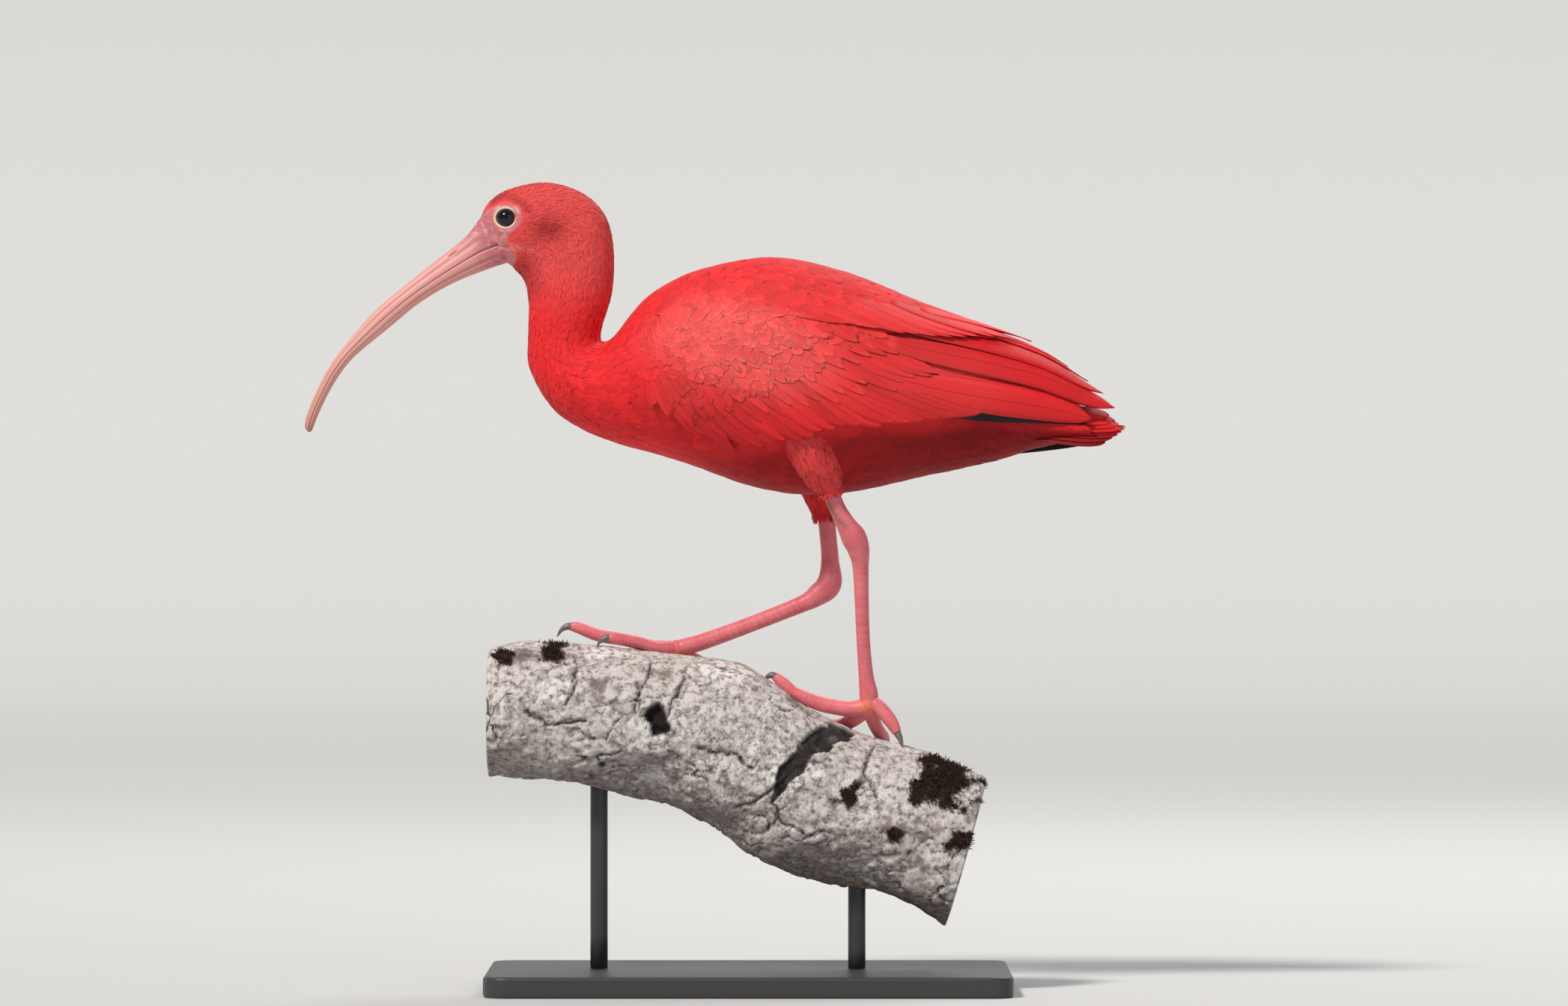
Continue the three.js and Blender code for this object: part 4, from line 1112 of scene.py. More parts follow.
for sideName in ("left", "right"):
    rng = np.random.default_rng(thighCoat["seed"])
    rows = legRows[sideName]["thigh"]
    surface = onThigh(rows)
    places = staggered(0.0, 0.97, 0, 2 * pi, lambda p: thighCoat["spacing"], lambda p: thighCoat["turn"], rng)
    places = places[np.argsort(-places[:, 0])]
    reach = thighCoat["length"] / thighCoat["thigh"] * rng.uniform(0.45, 1.6, len(places))
    # the lowest locks end at many heights over the bare leg, lowest in front
    hang = 1.06 + 0.12 * rng.random(len(places)) + 0.05 * np.cos(places[:, 1])
    reach = np.minimum(reach, hang - places[:, 0])
    tips = places + np.stack([reach, rng.normal(0, 0.16, len(places))], -1)
    low = smoothStep(0.7, 0.97, places[:, 0])
    width, lift = thighCoat["width"] * (1 - 0.45 * low), (-1.6, 0.1 + 1.3 * low)
    vanes = layVanes(surface, places, tips, width, lift, "pointed", rng, across=4, rag=0.1, rows=7,
                     crown=0.05, unwrap=lambda a, b: (0.1 + a * 0.7, (b % (2 * pi)) / (2 * pi)))
    makeCoat("thigh_feathers_" + sideName, [vanes], bodyFeather, thighCoat["deepShare"],
             thighCoat["pale"][sideName])
print("Tail and thighs ready")


# Eyes, with their lids
eyeSettings = {
    "radius": 5.8, "rings": 40, "around": 48, "outward": (-0.20, 0.97, 0.1),
    "lidRadius": 6.35, "lidWide": 1.05, "lidHigh": 0.65, "lidOut": 2.2, "lidAround": 72, "lidSection": 16}


def eyeMaterial():
    material, tree, shader = newMaterial("eye", 0.03, specular=0.5)
    x = attribute(tree, "iris")
    pupil = rising(tree, x, 0.74, 30.0)
    rim = rising(tree, x, 0.93, 20.0)
    colour = mixColour(tree, pupil, (0.002, 0.002, 0.002), (0.026, 0.009, 0.006))
    colour = mixColour(tree, rim, colour, (0.01, 0.005, 0.004))
    connect(tree, colour, shader, "Base Color")
    return material


def lidMaterial():
    material, tree, shader = newMaterial("eyelid", 0.5, specular=0.4)
    edge = attribute(tree, "edge")
    cloud = cloudNoise(tree, 700.0, 3.0)
    colour = mixColour(tree, edge, (0.88, 0.62, 0.48), (0.68, 0.24, 0.23))
    connect(tree, colour, shader, "Base Color")
    addBump(tree, shader, cloud, 0.3, 0.0003)
    return material


eyeFinish, lidFinish = eyeMaterial(), lidMaterial()
for side, sideName in ((-1, "left"), (1, "right")):
    s = eyeSettings
    low, high = (np.array(corner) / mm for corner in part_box("eye_" + sideName))
    centre = (low + high) / 2
    outward = np.array(s["outward"]) * (1, side, 1)
    outward /= np.linalg.norm(outward)
    first = np.cross(outward, (0, 0, 1.0))
    first /= np.linalg.norm(first)
    second = np.cross(first, outward)
    lift = np.linspace(0.001, pi - 0.001, s["rings"])
    turn = np.linspace(0, 2 * pi, s["around"], endpoint=False)
    ll, tt = np.meshgrid(lift, turn, indexing="ij")
    ball = centre + s["radius"] * (np.cos(ll)[..., None] * outward + np.sin(ll)[..., None]
                                   * (np.cos(tt)[..., None] * first + np.sin(tt)[..., None] * second))
    faces = gridFaces(s["rings"], s["around"], closed=True)
    iris = np.clip(np.sin(np.minimum(ll, pi / 2)), 0, 1).ravel()
    eye = makeObject("eye_ball_" + sideName, ball.reshape(-1, 3), faces, eyeFinish, None, {"iris": iris})
    recalculate(eye)
    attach(eye, "root")
    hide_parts("eye_" + sideName)
    # the lids: a soft ring a little longer than high, with a fold outside it
    around = np.linspace(0, 2 * pi, s["lidAround"], endpoint=False)
    section = np.linspace(0, 2 * pi, s["lidSection"], endpoint=False)
    aa, ss = np.meshgrid(around, section, indexing="ij")
    ringRadius = s["lidRadius"] * (1 + 0.05 * np.cos(2 * aa)) + s["lidWide"] * np.cos(ss)
    rise = s["lidOut"] + s["lidHigh"] * np.sin(ss) - 0.10 * (ringRadius - 5)
    lidPoints = centre + rise[..., None] * outward + (ringRadius * np.cos(aa))[..., None] * first \
        + (ringRadius * np.sin(aa))[..., None] * second
    here = np.arange(s["lidSection"])
    beside, last = (here + 1) % s["lidSection"], (s["lidAround"] - 1) * s["lidSection"]
    # one more row of quads joins the ring's last section to its first
    wrap = np.stack([last + here, last + beside, beside, here], -1)
    lidFaces = np.concatenate([gridFaces(s["lidAround"], s["lidSection"], closed=True), wrap])
    edge = smoothStep(-0.35, 0.55, np.cos(ss)).ravel()
    lid = makeObject("eyelid_" + sideName, lidPoints.reshape(-1, 3), lidFaces, lidFinish, None,
                     {"edge": edge})
    recalculate(lid)
    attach(lid, "root")
print("Eyes ready")

# Bill: top X and Z, mouth line X and Z, underside X and Z, half width
billRows = np.array([
    (-154.6, 442.8, -144.8, 427, -138.2, 417.6, 8.6), (-163.4, 431.7, -156.1, 422.3, -150.1, 413.7, 7.6),
    (-180.6, 418, -175.4, 410.7, -170.3, 405.5, 5.9), (-197.8, 404.2, -193.1, 398.6, -189.2, 394.3, 5),
    (-215, 389.6, -210.3, 384.4, -206, 380.6, 4.5), (-232.2, 369.8, -228.8, 366.8, -225.3, 364.6, 4),
    (-240.8, 357.8, -237.8, 355.6, -234.4, 353.9, 3.7), (-247.3, 345.7, -244.2, 344, -241.2, 342.7, 3.4),
    (-252.4, 334.1, -249.4, 332.8, -246.4, 332, 3.1), (-255, 324.2, -252.4, 323.8, -249.4, 324.7, 2.5),
    (-253.3, 320.4, -252.4, 320.2, -251, 320.8, 1.1)])
billSettings = {
    "rings": 220, "around": 40, "inner": 10, "mouth": 0.12, "nostril": (-170.2, 422.3), "nostrilLong": 7.0}


def billMaterial():
    material, tree, shader = newMaterial("bill horn", 0.42, specular=0.45)
    cloud = cloudNoise(tree, 60.0, 5.0)
    specks = cloudNoise(tree, 420.0, 4.0)
    way = attribute(tree, "way")
    face = useGroup(tree, bareColours, {"Mauve": 0.7})
    ramp = addNode(tree, "ShaderNodeValToRGB", {"Fac": way})
    stops = ramp.color_ramp.elements
    stops[0].position, stops[0].color = 0.0, (0.62, 0.20, 0.22, 1)
    stops[1].position, stops[1].color = 1.0, (0.46, 0.20, 0.14, 1)
    middleStops = ((0.16, (0.76, 0.33, 0.30)), (0.5, (0.77, 0.37, 0.31)), (0.8, (0.68, 0.32, 0.25)))
    for position, colour in middleStops:
        stops.new(position).color = (*colour, 1)
    root = calc(tree, "SUBTRACT", 1.3, calc(tree, "MULTIPLY", way, 10.0), clamp=True)
    root = calc(tree, "MULTIPLY", root, calc(tree, "MULTIPLY", cloud, 2.4, clamp=True), clamp=True)
    colour = mixColour(tree, root, ramp.outputs[0], face.outputs[0])
    dirt = rising(tree, specks, 0.62, 4.0)
    colour = mixColour(tree, calc(tree, "MULTIPLY", dirt, 0.35), colour, (0.42, 0.18, 0.14))
    colour = mixColour(tree, attribute(tree, "groove"), colour, (0.34, 0.10, 0.09))
    connect(tree, colour, shader, "Base Color")
    height = calc(tree, "ADD", cloud, calc(tree, "MULTIPLY", specks, 0.5))
    addBump(tree, shader, height, 0.25, 0.0004)
    return material


billFinish = billMaterial()


def makeBill(name, column, node):
    s = billSettings
    t = np.linspace(0, len(billRows) - 1, s["rings"])
    rows = between(billRows, t)
    mouth = np.stack([rows[:, 2], 0 * t, rows[:, 3]], -1)
    edge = np.stack([rows[:, column], 0 * t, rows[:, column + 1]], -1)
    away = edge - mouth
    deep = np.linalg.norm(away, axis=1)
    away /= deep[:, None]
    # a section from one mouth edge over the ridge to the other, and back inside along the mouth
    angle = np.linspace(0, pi, s["around"] - s["inner"])
    power = 0.78 if column == 0 else 0.9
    a = np.sign(np.cos(angle)) * np.abs(np.cos(angle)) ** power
    b = np.sin(angle) ** 0.92
    a = np.concatenate([a, np.linspace(-0.94, 0.94, s["inner"])])
    b = np.concatenate([b, np.zeros(s["inner"])])
    grooveLine = 0.50 if column == 0 else 0.55
    depthHere = np.exp(-((b - grooveLine) / 0.075) ** 2) * (np.abs(a) > 0.3)
    way = (t / (len(billRows) - 1))[:, None]
    grooveAmount = depthHere[None, :] * smoothStep(0.02, 0.1, way) * smoothStep(1.0, 0.8, way)
    half = rows[:, 6][:, None] * (1 - 0.13 * grooveAmount) * a[None, :]
    reach = s["mouth"] + b[None, :] * (deep[:, None] - s["mouth"])
    points = mouth[:, None] + away[:, None] * reach[..., None]
    points[..., 1] = half
    if column == 0:
        px, pz = s["nostril"]
        slope = np.array([-0.77, -0.64])
        dx, dz = points[..., 0] - px, points[..., 2] - pz
        long = (dx * slope[0] + dz * slope[1]) / (s["nostrilLong"] / 2)
        high = (dx * -slope[1] + dz * slope[0]) / 0.55
        pit = np.exp(-(long ** 4 + high ** 2)) * (np.abs(points[..., 1]) > 1)
        points[..., 1] -= np.sign(points[..., 1]) * 1.0 * pit
        grooveAmount = np.maximum(grooveAmount * 0.35, pit)
    else:
        grooveAmount = grooveAmount * 0.25
    lip = np.exp(-((b - 0.04) / 0.05) ** 2)[None, :] * np.ones_like(grooveAmount) * 0.35
    total = np.clip(np.maximum(grooveAmount, lip), 0, 1)
    # the first ring sinks into the face
    points[0] = points[0].mean(0) + (points[0] - points[0].mean(0)) * 0.93 + np.array([1.6, 0, 1.0])
    flat, faces = closedLoft(points)
    groove = withLids(total).ravel()
    ways = np.repeat(withLids(way[:, 0]), s["around"])
    made = makeObject(name, flat, faces, billFinish, None, {"way": ways, "groove": groove})
    recalculate(made)
    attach(made, "root")
    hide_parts(node)


makeBill("bill_upper", 0, "upper_bill")
makeBill("bill_lower", 4, "lower_bill")
print("Bill ready")

# Legs and feet
legSettings = {"around": 36, "scute": 1.9, "scuteHeight": 0.022}
legStreak = [(43.4, 284), (46.5, 277), (51, 270), (55, 266)]


def legMaterial():
    material, tree, shader = newMaterial("leg skin", 0.42, specular=0.45)
    cells = addNode(tree, "ShaderNodeTexVoronoi", {"Vector": objectPlace(tree), "Scale": 620.0})
    cloud = cloudNoise(tree, 90.0, 5.0)
    colour = mixColour(tree, cloud, (0.52, 0.05, 0.065), (0.86, 0.24, 0.26))
    plates = calc(tree, "MULTIPLY", attribute(tree, "scale"), 0.18)
    colour = mixColour(tree, plates, colour, (0.82, 0.30, 0.31))
    orange = calc(tree, "MULTIPLY", attribute(tree, "pad"), 0.8)
    colour = mixColour(tree, orange, colour, (0.80, 0.20, 0.10))
    grey = calc(tree, "MULTIPLY", attribute(tree, "streak"), calc(tree, "MULTIPLY", cloud, 1.3), clamp=True)
    colour = mixColour(tree, grey, colour, (0.27, 0.10, 0.085))
    connect(tree, colour, shader, "Base Color")
    height = calc(tree, "SUBTRACT", calc(tree, "MULTIPLY", cloud, 0.5), cells.outputs["Distance"])
    addBump(tree, shader, height, 0.35, 0.0004)
    return material


legFinish = legMaterial()
toeRows = {
    "left": {
        "outer": [(69, -3.8, 163, 5), (59.3, -3.6, 161.2, 4.6), (49.9, -3, 162.3, 4.4),
                  (39.6, -2.4, 164.7, 4.3), (25.8, -1.6, 170.7, 3.7), (19.4, -1.2, 176.3, 3.5),
                  (15, -1, 180.2, 2.5)],
        "middle": [(69, -3.8, 163, 5), (62, 3, 156.4, 4.3), (53.5, 12, 151.5, 4), (46, 21, 150.6, 3.7),
                   (39.5, 29, 146.8, 3.4), (35.8, 35, 140.2, 2.5)],
        "inner": [(69, -3.8, 163, 5), (72, 4.5, 153.4, 4), (75.2, 13, 147.2, 3.8), (77.6, 22, 144, 3.5),
                  (78.8, 29, 138.8, 2.5)],
        "hind": [(69, -3.8, 166, 4.6), (75.4, -6, 161.6, 4.2), (81.2, -8, 154.6, 3.9), (85, -9.4, 148, 2.7)]},
    "right": {
        "middle": [(-42, 10, 195.8, 4.4), (-56, 9.6, 197, 3.7), (-71, 9.2, 200.6, 3.6),
                   (-86, 8.8, 203.2, 3.6), (-97, 8.4, 207.4, 3.4), (-102.4, 8.2, 208.6, 2.5)],
        "inner": [(-42, 10, 195.8, 4.4), (-53, 4, 196.4, 3.6), (-64, -0.5, 199.6, 3.5),
                  (-75.6, -3.4, 201.6, 3.4), (-80.4, -4.2, 202.2, 2.4)],
        "outer": [(-42, 10, 195.8, 4.4), (-50, 17, 193.6, 3.7), (-59, 24, 191.6, 3.5), (-68, 30, 187, 3.4),
                  (-75, 34.4, 180.6, 2.5)],
        "hind": [(-42, 10, 196, 4.2), (-34, 15, 190.8, 3.9), (-26.4, 20.4, 186.4, 3.6),
                 (-21.4, 25, 181.2, 2.5)]}}


# A limb with cross plates along it
def scaledLimb(rows, steps):
    rows = np.array(rows, float)
    length = np.linalg.norm(np.diff(rows[:, :3], axis=0), axis=1).sum()
    s = legSettings
    plates = length / s["scute"]

    def swell(share, turn):
        front = smoothStep(-0.2, 0.6, np.sin(turn)) + smoothStep(-0.2, 0.6, -np.sin(turn)) * 0.6
        wave = np.abs(np.sin(share * plates * pi)) ** 0.6
        return 1 + s["scuteHeight"] * (wave - 0.6) * np.clip(front, 0, 1)

    points, faces = closedLoft(limbRings(rows, steps, s["around"], swell))
    share = withLids(np.linspace(0, 1, steps))
    plate = np.repeat(np.abs(np.sin(share * plates * pi)) ** 3, s["around"])
    return points, faces, {"scale": plate}


def footBall(x, y, z, radius, rings=24, around=32):
    lift, turn = np.linspace(0.001, pi - 0.001, rings), np.linspace(0, 2 * pi, around, endpoint=False)
    lift, turn = np.meshgrid(lift, turn, indexing="ij")
    ball = np.stack([np.sin(lift) * np.cos(turn), np.sin(lift) * np.sin(turn), np.cos(lift)], -1)
    points = (ball * radius + (x, y, z)).reshape(-1, 3)
    return points, gridFaces(rings, around, closed=True), {"scale": np.zeros(len(points))}


footBalls = {"left": (69, -3.8, 164, 5.7), "right": (-41.5, 10, 195.8, 4.9)}
footPads = {"left": (67, -9.4, 162), "right": (-41, 6, 191)}
for sideName in ("left", "right"):
    leg = scaledLimb(legRows[sideName]["shin"], 300)
    toes = [scaledLimb(rows, 110) for rows in toeRows[sideName].values()]
    points, faces, extras = joinParts([leg, footBall(*footBalls[sideName])] + toes)
    streak, _ = sideDistance(points[:, 0], points[:, 2], legStreak)
    extras["streak"] = np.exp(-(streak / 1.7) ** 2) * (points[:, 1] < 0)
    extras["pad"] = np.exp(-(np.linalg.norm(points - footPads[sideName], axis=1) / 5.0) ** 4)
    made = makeObject("leg_skin_" + sideName, points, faces, legFinish, None, extras)
    recalculate(made)
    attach(made, "root")
    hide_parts("shin_" + sideName, "tarsus_" + sideName, "foot_" + sideName)

clawFinish, clawTree, clawShader = newMaterial("claw horn", 0.35, specular=0.5)
clawCloud = cloudNoise(clawTree, 300.0)
clawColour = mixColour(clawTree, clawCloud, (0.07, 0.052, 0.05), (0.26, 0.20, 0.19))
connect(clawTree, clawColour, clawShader, "Base Color")
clawTips = {
    "left": {"outer": (7.6, -0.8, 175.6), "middle": (33.4, 38.6, 132.8), "inner": (79, 33.4, 132),
             "hind": (88.2, -10.6, 139.4)},
    "right": {"middle": (-110.2, 8, 202.6), "inner": (-87, -5.2, 197.4), "outer": (-79, 37.4, 172.8),
              "hind": (-18.8, 28.6, 173.6)}}
clawRadii = np.array([2.2, 2.1, 1.8, 1.4, 0.9, 0.35])[:, None]
for sideName, claws in clawTips.items():
    for toe, tip in claws.items():
        rows = np.array(toeRows[sideName][toe], float)
        end = rows[-1, :3]
        heading = end - between(rows, len(rows) - 1.05)[:3]
        heading /= np.linalg.norm(heading)
        goal = np.array(tip, float)
        start = end - heading * 1.2
        bend = end + heading * np.linalg.norm(goal - end) * 0.5
        f = np.linspace(0, 1, len(clawRadii))[:, None]
        curve = (1 - f) ** 2 * start + 2 * f * (1 - f) * bend + f ** 2 * goal
        points, faces = closedLoft(limbRings(np.concatenate([curve, clawRadii], 1), 40, 16))
        made = makeObject("horn_" + sideName + "_" + toe, points, faces, clawFinish)
        recalculate(made)
        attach(made, "root")
        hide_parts("claw_" + sideName + "_" + toe)
print("Legs ready")

# Perch: a cut branch. Underside X and Z, upper side X and Z, half width
branchRows = np.array([
    (-150, 123, -149.5, 196, 38), (-133, 120.4, -128, 200.8, 40), (-94.6, 117.8, -86, 198.2, 40),
    (-56.8, 111, -41.3, 193, 40.5), (-32.2, 98, -6.4, 188.4, 42), (-10.8, 86, 15, 176.3, 43),
    (12.9, 72.2, 36.6, 161.2, 42), (45.2, 62.8, 69.2, 146.2, 40), (77.4, 52.5, 103.2, 137.2, 40),
    (112.7, 36.1, 136.7, 122.1, 39)])
# Places on the bark are X and Z in the side view; each mossy spot has its size as well
barkSettings = {
    "rings": 330, "around": 250, "grow": -0.6, "knot": (-51.6, 156.0), "knotSize": 6.2,
    "split": [(56, 151), (44, 146), (35, 141), (27, 130), (20, 122), (14, 110)],
    "cracks": [
        [(20, 121), (10, 114), (2, 108), (-8, 105)], [(-55, 189), (-58, 180), (-63, 170), (-64, 160)],
        [(-36, 182), (-41, 171), (-44, 160)], [(14, 110), (20, 98), (30, 90)],
        [(-100, 192), (-98, 178), (-104, 165)], [(70, 138), (66, 126), (74, 112)],
        [(-30, 140), (-12, 136), (2, 128)], [(-128, 160), (-110, 154), (-92, 156)]],
    "moss": [(112, 120, 18), (56, 114, 6.5), (-112, 195, 7), (-140, 190, 6), (122, 86, 9), (84, 92, 5)]}


def branchRings(rings, around, grow):
    share = np.linspace(0, 1, rings)
    t = share * (len(branchRows) - 1)
    lowX, lowZ, highX, highZ, half = between(branchRows, t).T[:, :, None]
    turn = np.linspace(0, 2 * pi, around, endpoint=False)[None, :]
    upX, upZ = highX - lowX, highZ - lowZ
    tall = np.hypot(upX, upZ)
    low = (1 - np.cos(turn)) / 2
    row = t[:, None]
    swell = 1 + low * (0.05 * np.sin(3 * turn + 1.7 * row) + 0.03 * np.sin(5 * turn - 2.9 * row))
    reach = (tall / 2 + grow) * np.cos(turn) * swell / tall
    x = (lowX + highX) / 2 + upX * reach
    z = (lowZ + highZ) / 2 + upZ * reach
    y = (half + grow) * np.sin(turn) * swell
    return np.stack([x, y, z], -1)


# Height in mm, a fissure amount and a moss amount for each point of the branch
def barkRelief(points):
    height, fissure, moss, stray = (np.zeros(len(points)) for _ in range(4))
    s = barkSettings
    for i, (x, y, z) in enumerate(points):
        place = Vector((x * 0.040, y * 0.055, z * 0.055))
        warp = noise.noise_vector(place * 2.3) * 0.35
        distances, _ = noise.voronoi(place + warp)
        plate = distances[1] - distances[0]
        small, _ = noise.voronoi(Vector((x * 0.16, y * 0.2, z * 0.2)) + warp * 2)
        flake = small[1] - small[0]
        rough = noise.fractal(Vector((x, y, z)) * 0.12, 0.8, 2.1, 5)
        broad = noise.fractal(Vector((x, y, z)) * 0.03, 1.0, 2.0, 3)
        crack = math.exp(-(plate / 0.032) ** 2) * min(max(0.2 + broad * 2.4, 0), 1)
        fine = math.exp(-(flake / 0.045) ** 2) * min(max(0.25 - broad * 1.6, 0), 1)
        flaked = min(max(rough * 2.2 + broad, 0), 1)
        height[i] = -1.5 * crack - 0.7 * fine + 0.8 * rough + 0.9 * flaked
        fissure[i] = min(crack + 0.6 * fine, 1)
        stray[i] = noise.fractal(Vector((x, y, z)) * 0.09, 0.9, 2.0, 4)
    x, y, z = points.T
    near = smoothStep(2, 12, -y)
    knot = np.hypot(x - s["knot"][0], (z - s["knot"][1]) * 0.62) / s["knotSize"] + 0.5 * stray
    height += near * (-6.0 * smoothStep(1.1, 0.8, knot) + 1.0 * np.exp(-((knot - 1.3) / 0.2) ** 2))
    fissure = np.maximum(fissure, near * smoothStep(1.12, 0.9, knot))
    split, down = sideDistance(x, z, s["split"])
    split = split / np.interp(down, [0, 0.75, 1], [6.5, 5.0, 1.5]) + 0.5 * stray
    height += near * smoothStep(1.1, 0.85, split) * (-2.6 + 1.6 * stray)
    fissure = np.maximum(fissure, near * smoothStep(1.1, 0.9, split) * (0.97 - 0.3 * np.clip(stray, 0, 1)))
    for crackLine in s["cracks"]:
        away, _ = sideDistance(x + 2.4 * stray, z + 2.4 * stray, crackLine)
        height -= near * 1.6 * np.exp(-(away / 0.9) ** 2)
        fissure = np.maximum(fissure, near * np.exp(-(away / 0.75) ** 2))
    for mx, mz, size in s["moss"]:
        away = np.hypot(x - mx, (z - mz) * 1.3) / size + 0.9 * stray
        moss = np.maximum(moss, near * smoothStep(1.15, 0.8, away))
    height += moss * 0.8
    return height, np.clip(fissure, 0, 1), moss


def barkMaterial():
    material, tree, shader = newMaterial("lichened bark", 0.88, specular=0.2)
    broad = cloudNoise(tree, 26.0, 8.0, 0.65)
    fine = cloudNoise(tree, 260.0, 6.0, 0.7)
    spots = addNode(tree, "ShaderNodeTexVoronoi", {"Vector": objectPlace(tree), "Scale": 90.0})
    ramp = addNode(tree, "ShaderNodeValToRGB", {"Fac": broad})
    stops = ramp.color_ramp.elements
    stops[0].position, stops[0].color = 0.27, (0.12, 0.09, 0.078, 1)
    stops[1].position, stops[1].color = 0.66, (0.84, 0.80, 0.76, 1)
    middleStops = (
        (0.37, (0.30, 0.25, 0.235)), (0.41, (0.62, 0.56, 0.52)), (0.50, (0.70, 0.65, 0.61)),
        (0.54, (0.44, 0.41, 0.39)), (0.57, (0.76, 0.71, 0.67)))
    for position, colour in middleStops:
        stops.new(position).color = (*colour, 1)
    speck = rising(tree, fine, 0.36, 6.0)
    colour = mixColour(tree, speck, (0.20, 0.16, 0.14), ramp.outputs[0])
    # Painted shade: the underside of the branch is painted darker
    facing = addNode(tree, "ShaderNodeNewGeometry").outputs["Normal"]
    under = addNode(tree, "ShaderNodeSeparateXYZ", {"Vector": facing})
    lower = rising(tree, under.outputs[2], -0.15, -1.5)
    colour = mixColour(tree, calc(tree, "MULTIPLY", lower, 0.6), colour, (0.16, 0.115, 0.095))
    # Cracks, the split and the knot hole are painted near black: the bark's own dark inside them, deepened by
    # painted shade
    colour = mixColour(tree, attribute(tree, "fissure"), colour, (0.018, 0.013, 0.012))
    colour = mixColour(tree, attribute(tree, "moss"), colour, (0.030, 0.022, 0.014))
    cut = attribute(tree, "cut")
    grain = cloudNoise(tree, 26.0, 5.0)
    warped = calc(tree, "ADD", attribute(tree, "ringWay"), calc(tree, "MULTIPLY", grain, 0.22))
    ringWave = calc(tree, "SINE", calc(tree, "MULTIPLY", warped, 62.0))
    ringWave = calc(tree, "MULTIPLY_ADD", ringWave, 0.5, 0.5)
    wood = mixColour(tree, ringWave, (0.36, 0.24, 0.15), (0.50, 0.37, 0.25))
    stain = rising(tree, grain, 0.48, 5.0)
    wood = mixColour(tree, calc(tree, "MULTIPLY", stain, 0.55), wood, (0.22, 0.16, 0.12))
    colour = mixColour(tree, cut, colour, wood)
    connect(tree, colour, shader, "Base Color")
    height = calc(tree, "ADD", fine, calc(tree, "MULTIPLY", spots.outputs["Distance"], 0.4))
    addBump(tree, shader, height, 0.6, 0.0016)
    return material


def makeBranch():
    s = barkSettings
    rings = branchRings(s["rings"], s["around"], s["grow"])
    flat = rings.reshape(-1, 3)
    relief, fissure, moss = barkRelief(flat)
    middle = rings.mean(1, keepdims=True)
    out = rings - middle
    out /= np.linalg.norm(out, axis=-1, keepdims=True)
    # under the feet the bark stays as high as the solid's, so that they rest on it
    topSide = smoothStep(0.75, 0.97, out[..., 2]).ravel()
    relief = np.where(relief > 0.6, 0.6 + 0.2 * (relief - 0.6), relief)
    relief = relief * (1 - 0.6 * topSide)
    ends = np.minimum(np.arange(s["rings"]), np.arange(s["rings"])[::-1])
    bevel = -1.6 * np.exp(-ends / 1.2)
    moved = rings + out * (relief.reshape(rings.shape[:2]) + bevel[:, None])[..., None]
    extra = 8
    shares = np.linspace(0.04, 0.97, extra)
    first, last = moved[0], moved[-1]
    lids = [first.mean(0) + (first - first.mean(0)) * f for f in shares]
    farLids = [last.mean(0) + (last - last.mean(0)) * f for f in shares[::-1]]
    full = np.concatenate([np.stack(lids), moved, np.stack(farLids)])
    rows, columns = full.shape[:2]
    faces = tubeFaces(rows, columns)
    pad = lambda values, fill: np.pad(values, extra * columns, constant_values=fill)
    cut = pad(np.zeros(len(flat)), 1.0)
    way = np.concatenate([np.repeat(shares, columns), np.ones(len(flat)), np.repeat(shares[::-1], columns)])
    made = makeObject("branch", full.reshape(-1, 3), faces, barkMaterial(), None,
                      {"fissure": pad(fissure, 0.0), "moss": pad(moss, 0.0), "cut": cut, "ringWay": way})
    recalculate(made)
    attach(made, "root")
    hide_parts("perch")
    return made


branch = makeBranch()
print("Branch ready")


# Moss: small dark tufts scattered over the branch's mossy spots
mossSettings = {"Density": 1100000.0, "Length": 0.0026, "Width": 0.0004, "Seed": 8}


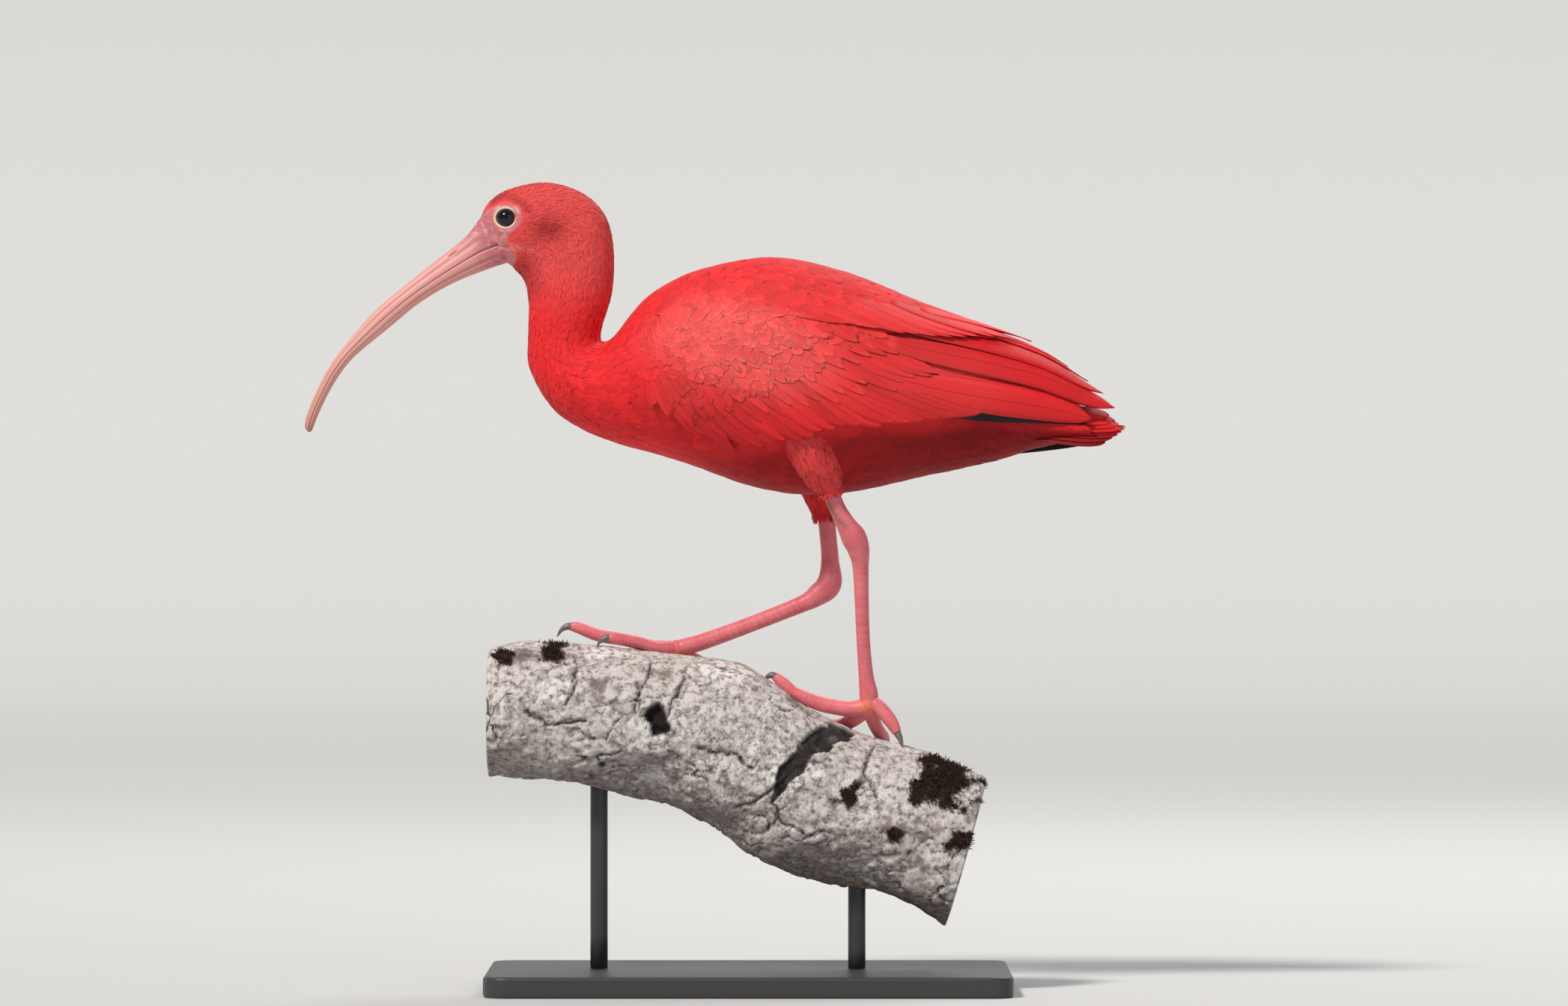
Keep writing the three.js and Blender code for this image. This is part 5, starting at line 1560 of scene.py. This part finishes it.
def mossTree():
    tree = bpy.data.node_groups.new("moss tufts", "GeometryNodeTree")
    tree.interface.new_socket("Geometry", in_out="INPUT", socket_type="NodeSocketGeometry")
    for key, value in mossSettings.items():
        kind = "NodeSocketInt" if key == "Seed" else "NodeSocketFloat"
        tree.interface.new_socket(key, in_out="INPUT", socket_type=kind).default_value = value
    tree.interface.new_socket("Material", in_out="INPUT", socket_type="NodeSocketMaterial")
    tree.interface.new_socket("Geometry", in_out="OUTPUT", socket_type="NodeSocketGeometry")
    given, result = tree.nodes.new("NodeGroupInput"), tree.nodes.new("NodeGroupOutput")
    link = tree.links.new
    amount = tree.nodes.new("GeometryNodeInputNamedAttribute")
    amount.data_type = "FLOAT"
    amount.inputs["Name"].default_value = "moss"
    dense = tree.nodes.new("ShaderNodeMath")
    dense.operation = "MULTIPLY"
    link(amount.outputs[0], dense.inputs[0])
    link(given.outputs["Density"], dense.inputs[1])
    spread = tree.nodes.new("GeometryNodeDistributePointsOnFaces")
    link(given.outputs["Geometry"], spread.inputs["Mesh"])
    link(dense.outputs[0], spread.inputs["Density"])
    link(given.outputs["Seed"], spread.inputs["Seed"])
    blade = tree.nodes.new("GeometryNodeMeshCone")
    blade.inputs["Vertices"].default_value = 3
    blade.inputs["Radius Top"].default_value = 0.00005
    link(given.outputs["Width"], blade.inputs["Radius Bottom"])
    link(given.outputs["Length"], blade.inputs["Depth"])
    lean = tree.nodes.new("FunctionNodeRandomValue")
    lean.data_type = "FLOAT_VECTOR"
    lean.inputs[0].default_value = (-0.8, -0.8, -3.1)
    lean.inputs[1].default_value = (0.8, 0.8, 3.1)
    link(given.outputs["Seed"], lean.inputs["Seed"])
    turned = tree.nodes.new("FunctionNodeRotateRotation")
    turned.rotation_space = "LOCAL"
    link(spread.outputs["Rotation"], turned.inputs[0])
    link(lean.outputs[0], turned.inputs[1])
    size = tree.nodes.new("FunctionNodeRandomValue")
    size.data_type = "FLOAT"
    size.inputs[2].default_value = 0.5
    size.inputs[3].default_value = 1.2
    link(given.outputs["Seed"], size.inputs["Seed"])
    place = tree.nodes.new("GeometryNodeInstanceOnPoints")
    link(spread.outputs["Points"], place.inputs["Points"])
    link(blade.outputs["Mesh"], place.inputs["Instance"])
    link(turned.outputs[0], place.inputs["Rotation"])
    link(size.outputs[1], place.inputs["Scale"])
    real = tree.nodes.new("GeometryNodeRealizeInstances")
    finish = tree.nodes.new("GeometryNodeSetMaterial")
    link(place.outputs[0], real.inputs[0])
    link(real.outputs[0], finish.inputs["Geometry"])
    link(given.outputs["Material"], finish.inputs["Material"])
    link(finish.outputs[0], result.inputs[0])
    return tree


def makeMoss():
    material, tree, shader = newMaterial("dark moss", 0.95, specular=0.1)
    cloud = cloudNoise(tree, 300.0)
    connect(tree, mixColour(tree, cloud, (0.012, 0.008, 0.007), (0.085, 0.042, 0.032)), shader, "Base Color")
    carrier = bpy.data.objects.new("moss carrier", branch.data)
    scene.collection.objects.link(carrier)
    group = mossTree()
    modifier = carrier.modifiers.new("moss", "NODES")
    modifier.node_group = group
    for item in group.interface.items_tree:
        if item.in_out == "INPUT" and item.name == "Material":
            modifier[item.identifier] = material
        elif item.in_out == "INPUT" and item.name in mossSettings:
            modifier[item.identifier] = mossSettings[item.name]
    grown = carrier.evaluated_get(bpy.context.evaluated_depsgraph_get())
    mesh = bpy.data.meshes.new_from_object(grown)
    bpy.data.objects.remove(carrier)
    made = bpy.data.objects.new("moss", mesh)
    scene.collection.objects.link(made)
    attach(made, "root")
    print("moss", len(mesh.polygons), "faces")


makeMoss()

# Stand: the base and two rods, satin dark paint
standFinish, standTree, standShader = newMaterial("stand paint", 0.42, specular=0.5)
standCloud = cloudNoise(standTree, 1400.0, 3.0)
connect(standTree, mixColour(standTree, standCloud, (0.030, 0.030, 0.032), (0.045, 0.045, 0.048)),
        standShader, "Base Color")
addBump(standTree, standShader, standCloud, 0.12, 0.0002)


def copyNode(node, name, bevel):
    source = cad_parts[node]
    mesh = source.data.copy()
    work = bmesh.new()
    work.from_mesh(mesh)
    bmesh.ops.remove_doubles(work, verts=work.verts, dist=1e-6)
    bmesh.ops.dissolve_limit(work, angle_limit=0.02, verts=work.verts, edges=work.edges)
    work.to_mesh(mesh)
    work.free()
    mesh.materials.clear()
    mesh.materials.append(standFinish)
    made = bpy.data.objects.new(name, mesh)
    scene.collection.objects.link(made)
    edges = made.modifiers.new("soft edges", "BEVEL")
    edges.width = bevel
    edges.segments = 2
    edges.limit_method = "ANGLE"
    edges.angle_limit = 0.35
    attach(made, "root")
    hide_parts(node)


def makeRod(name, node):
    low, high = (np.array(corner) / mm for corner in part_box(node))
    x, y = (low[:2] + high[:2]) / 2
    rows = [(x, y, low[2], 5), (x, y, (low[2] + high[2]) / 2, 5), (x, y, high[2], 5)]
    points, faces = closedLoft(limbRings(rows, 6, 48))
    made = makeObject(name, points, faces, standFinish)
    recalculate(made)
    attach(made, "root")
    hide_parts(node)


copyNode("stand_base", "base_plate", 0.0006)
makeRod("rod_front", "stand_rod_front")
makeRod("rod_rear", "stand_rod_rear")
print("Stand ready")

# Floor and light: soft, with the key high on the left as the sun is in the photo
stageSettings = {"floor": (0.62, 0.62, 0.61), "world": 0.32, "far": 7.0, "curve": 2.0}
floorMaterial, _, floorShader = newMaterial("floor", 0.8, specular=0.2)
floorShader.inputs["Base Color"].default_value = (*stageSettings["floor"], 1)
bend = np.linspace(0, pi / 2, 14)
far, curve = stageSettings["far"], stageSettings["curve"]
profile = [(-far, 0.0), (far, 0.0)]
profile += [(far + curve * math.sin(a), curve - curve * math.cos(a)) for a in bend] + [(far + curve, 2 * far)]
sweep = np.array([[(x, y, z) for y, z in profile] for x in (-2 * far, 2 * far)])
floor = makeObject("floor", sweep.reshape(-1, 3) / mm, gridFaces(2, len(profile))[:, ::-1], floorMaterial)

world = bpy.data.worlds.new("studio")
world.use_nodes = True
world.node_tree.nodes["Background"].inputs[0].default_value = (0.80, 0.86, 1.0, 1)
world.node_tree.nodes["Background"].inputs[1].default_value = stageSettings["world"]
scene.world = world
lights = {
    "key": {"kind": "SUN", "place": (-1.5, -1.9, 2.9), "size": 0.18, "power": 2.9, "colour": (1, 0.96, 0.90)},
    "fill": {"kind": "AREA", "place": (2.2, -2.6, 1.3), "size": 2.2, "power": 12, "colour": (0.90, 0.95, 1)},
    "back": {"kind": "AREA", "place": (0.9, 1.9, 2.2), "size": 1.2, "power": 24, "colour": (1, 0.98, 0.95)},
}
for name, s in lights.items():
    data = bpy.data.lights.new(name, s["kind"])
    if s["kind"] == "SUN":
        data.angle = s["size"]
    else:
        data.size = s["size"]
    data.energy = s["power"]
    data.color = s["colour"]
    lamp = bpy.data.objects.new(name, data)
    lamp.location = s["place"]
    lamp.rotation_euler = (Vector((0, 0, 0.3)) - Vector(s["place"])).to_track_quat("-Z", "Y").to_euler()
    scene.collection.objects.link(lamp)
print("Stage ready")
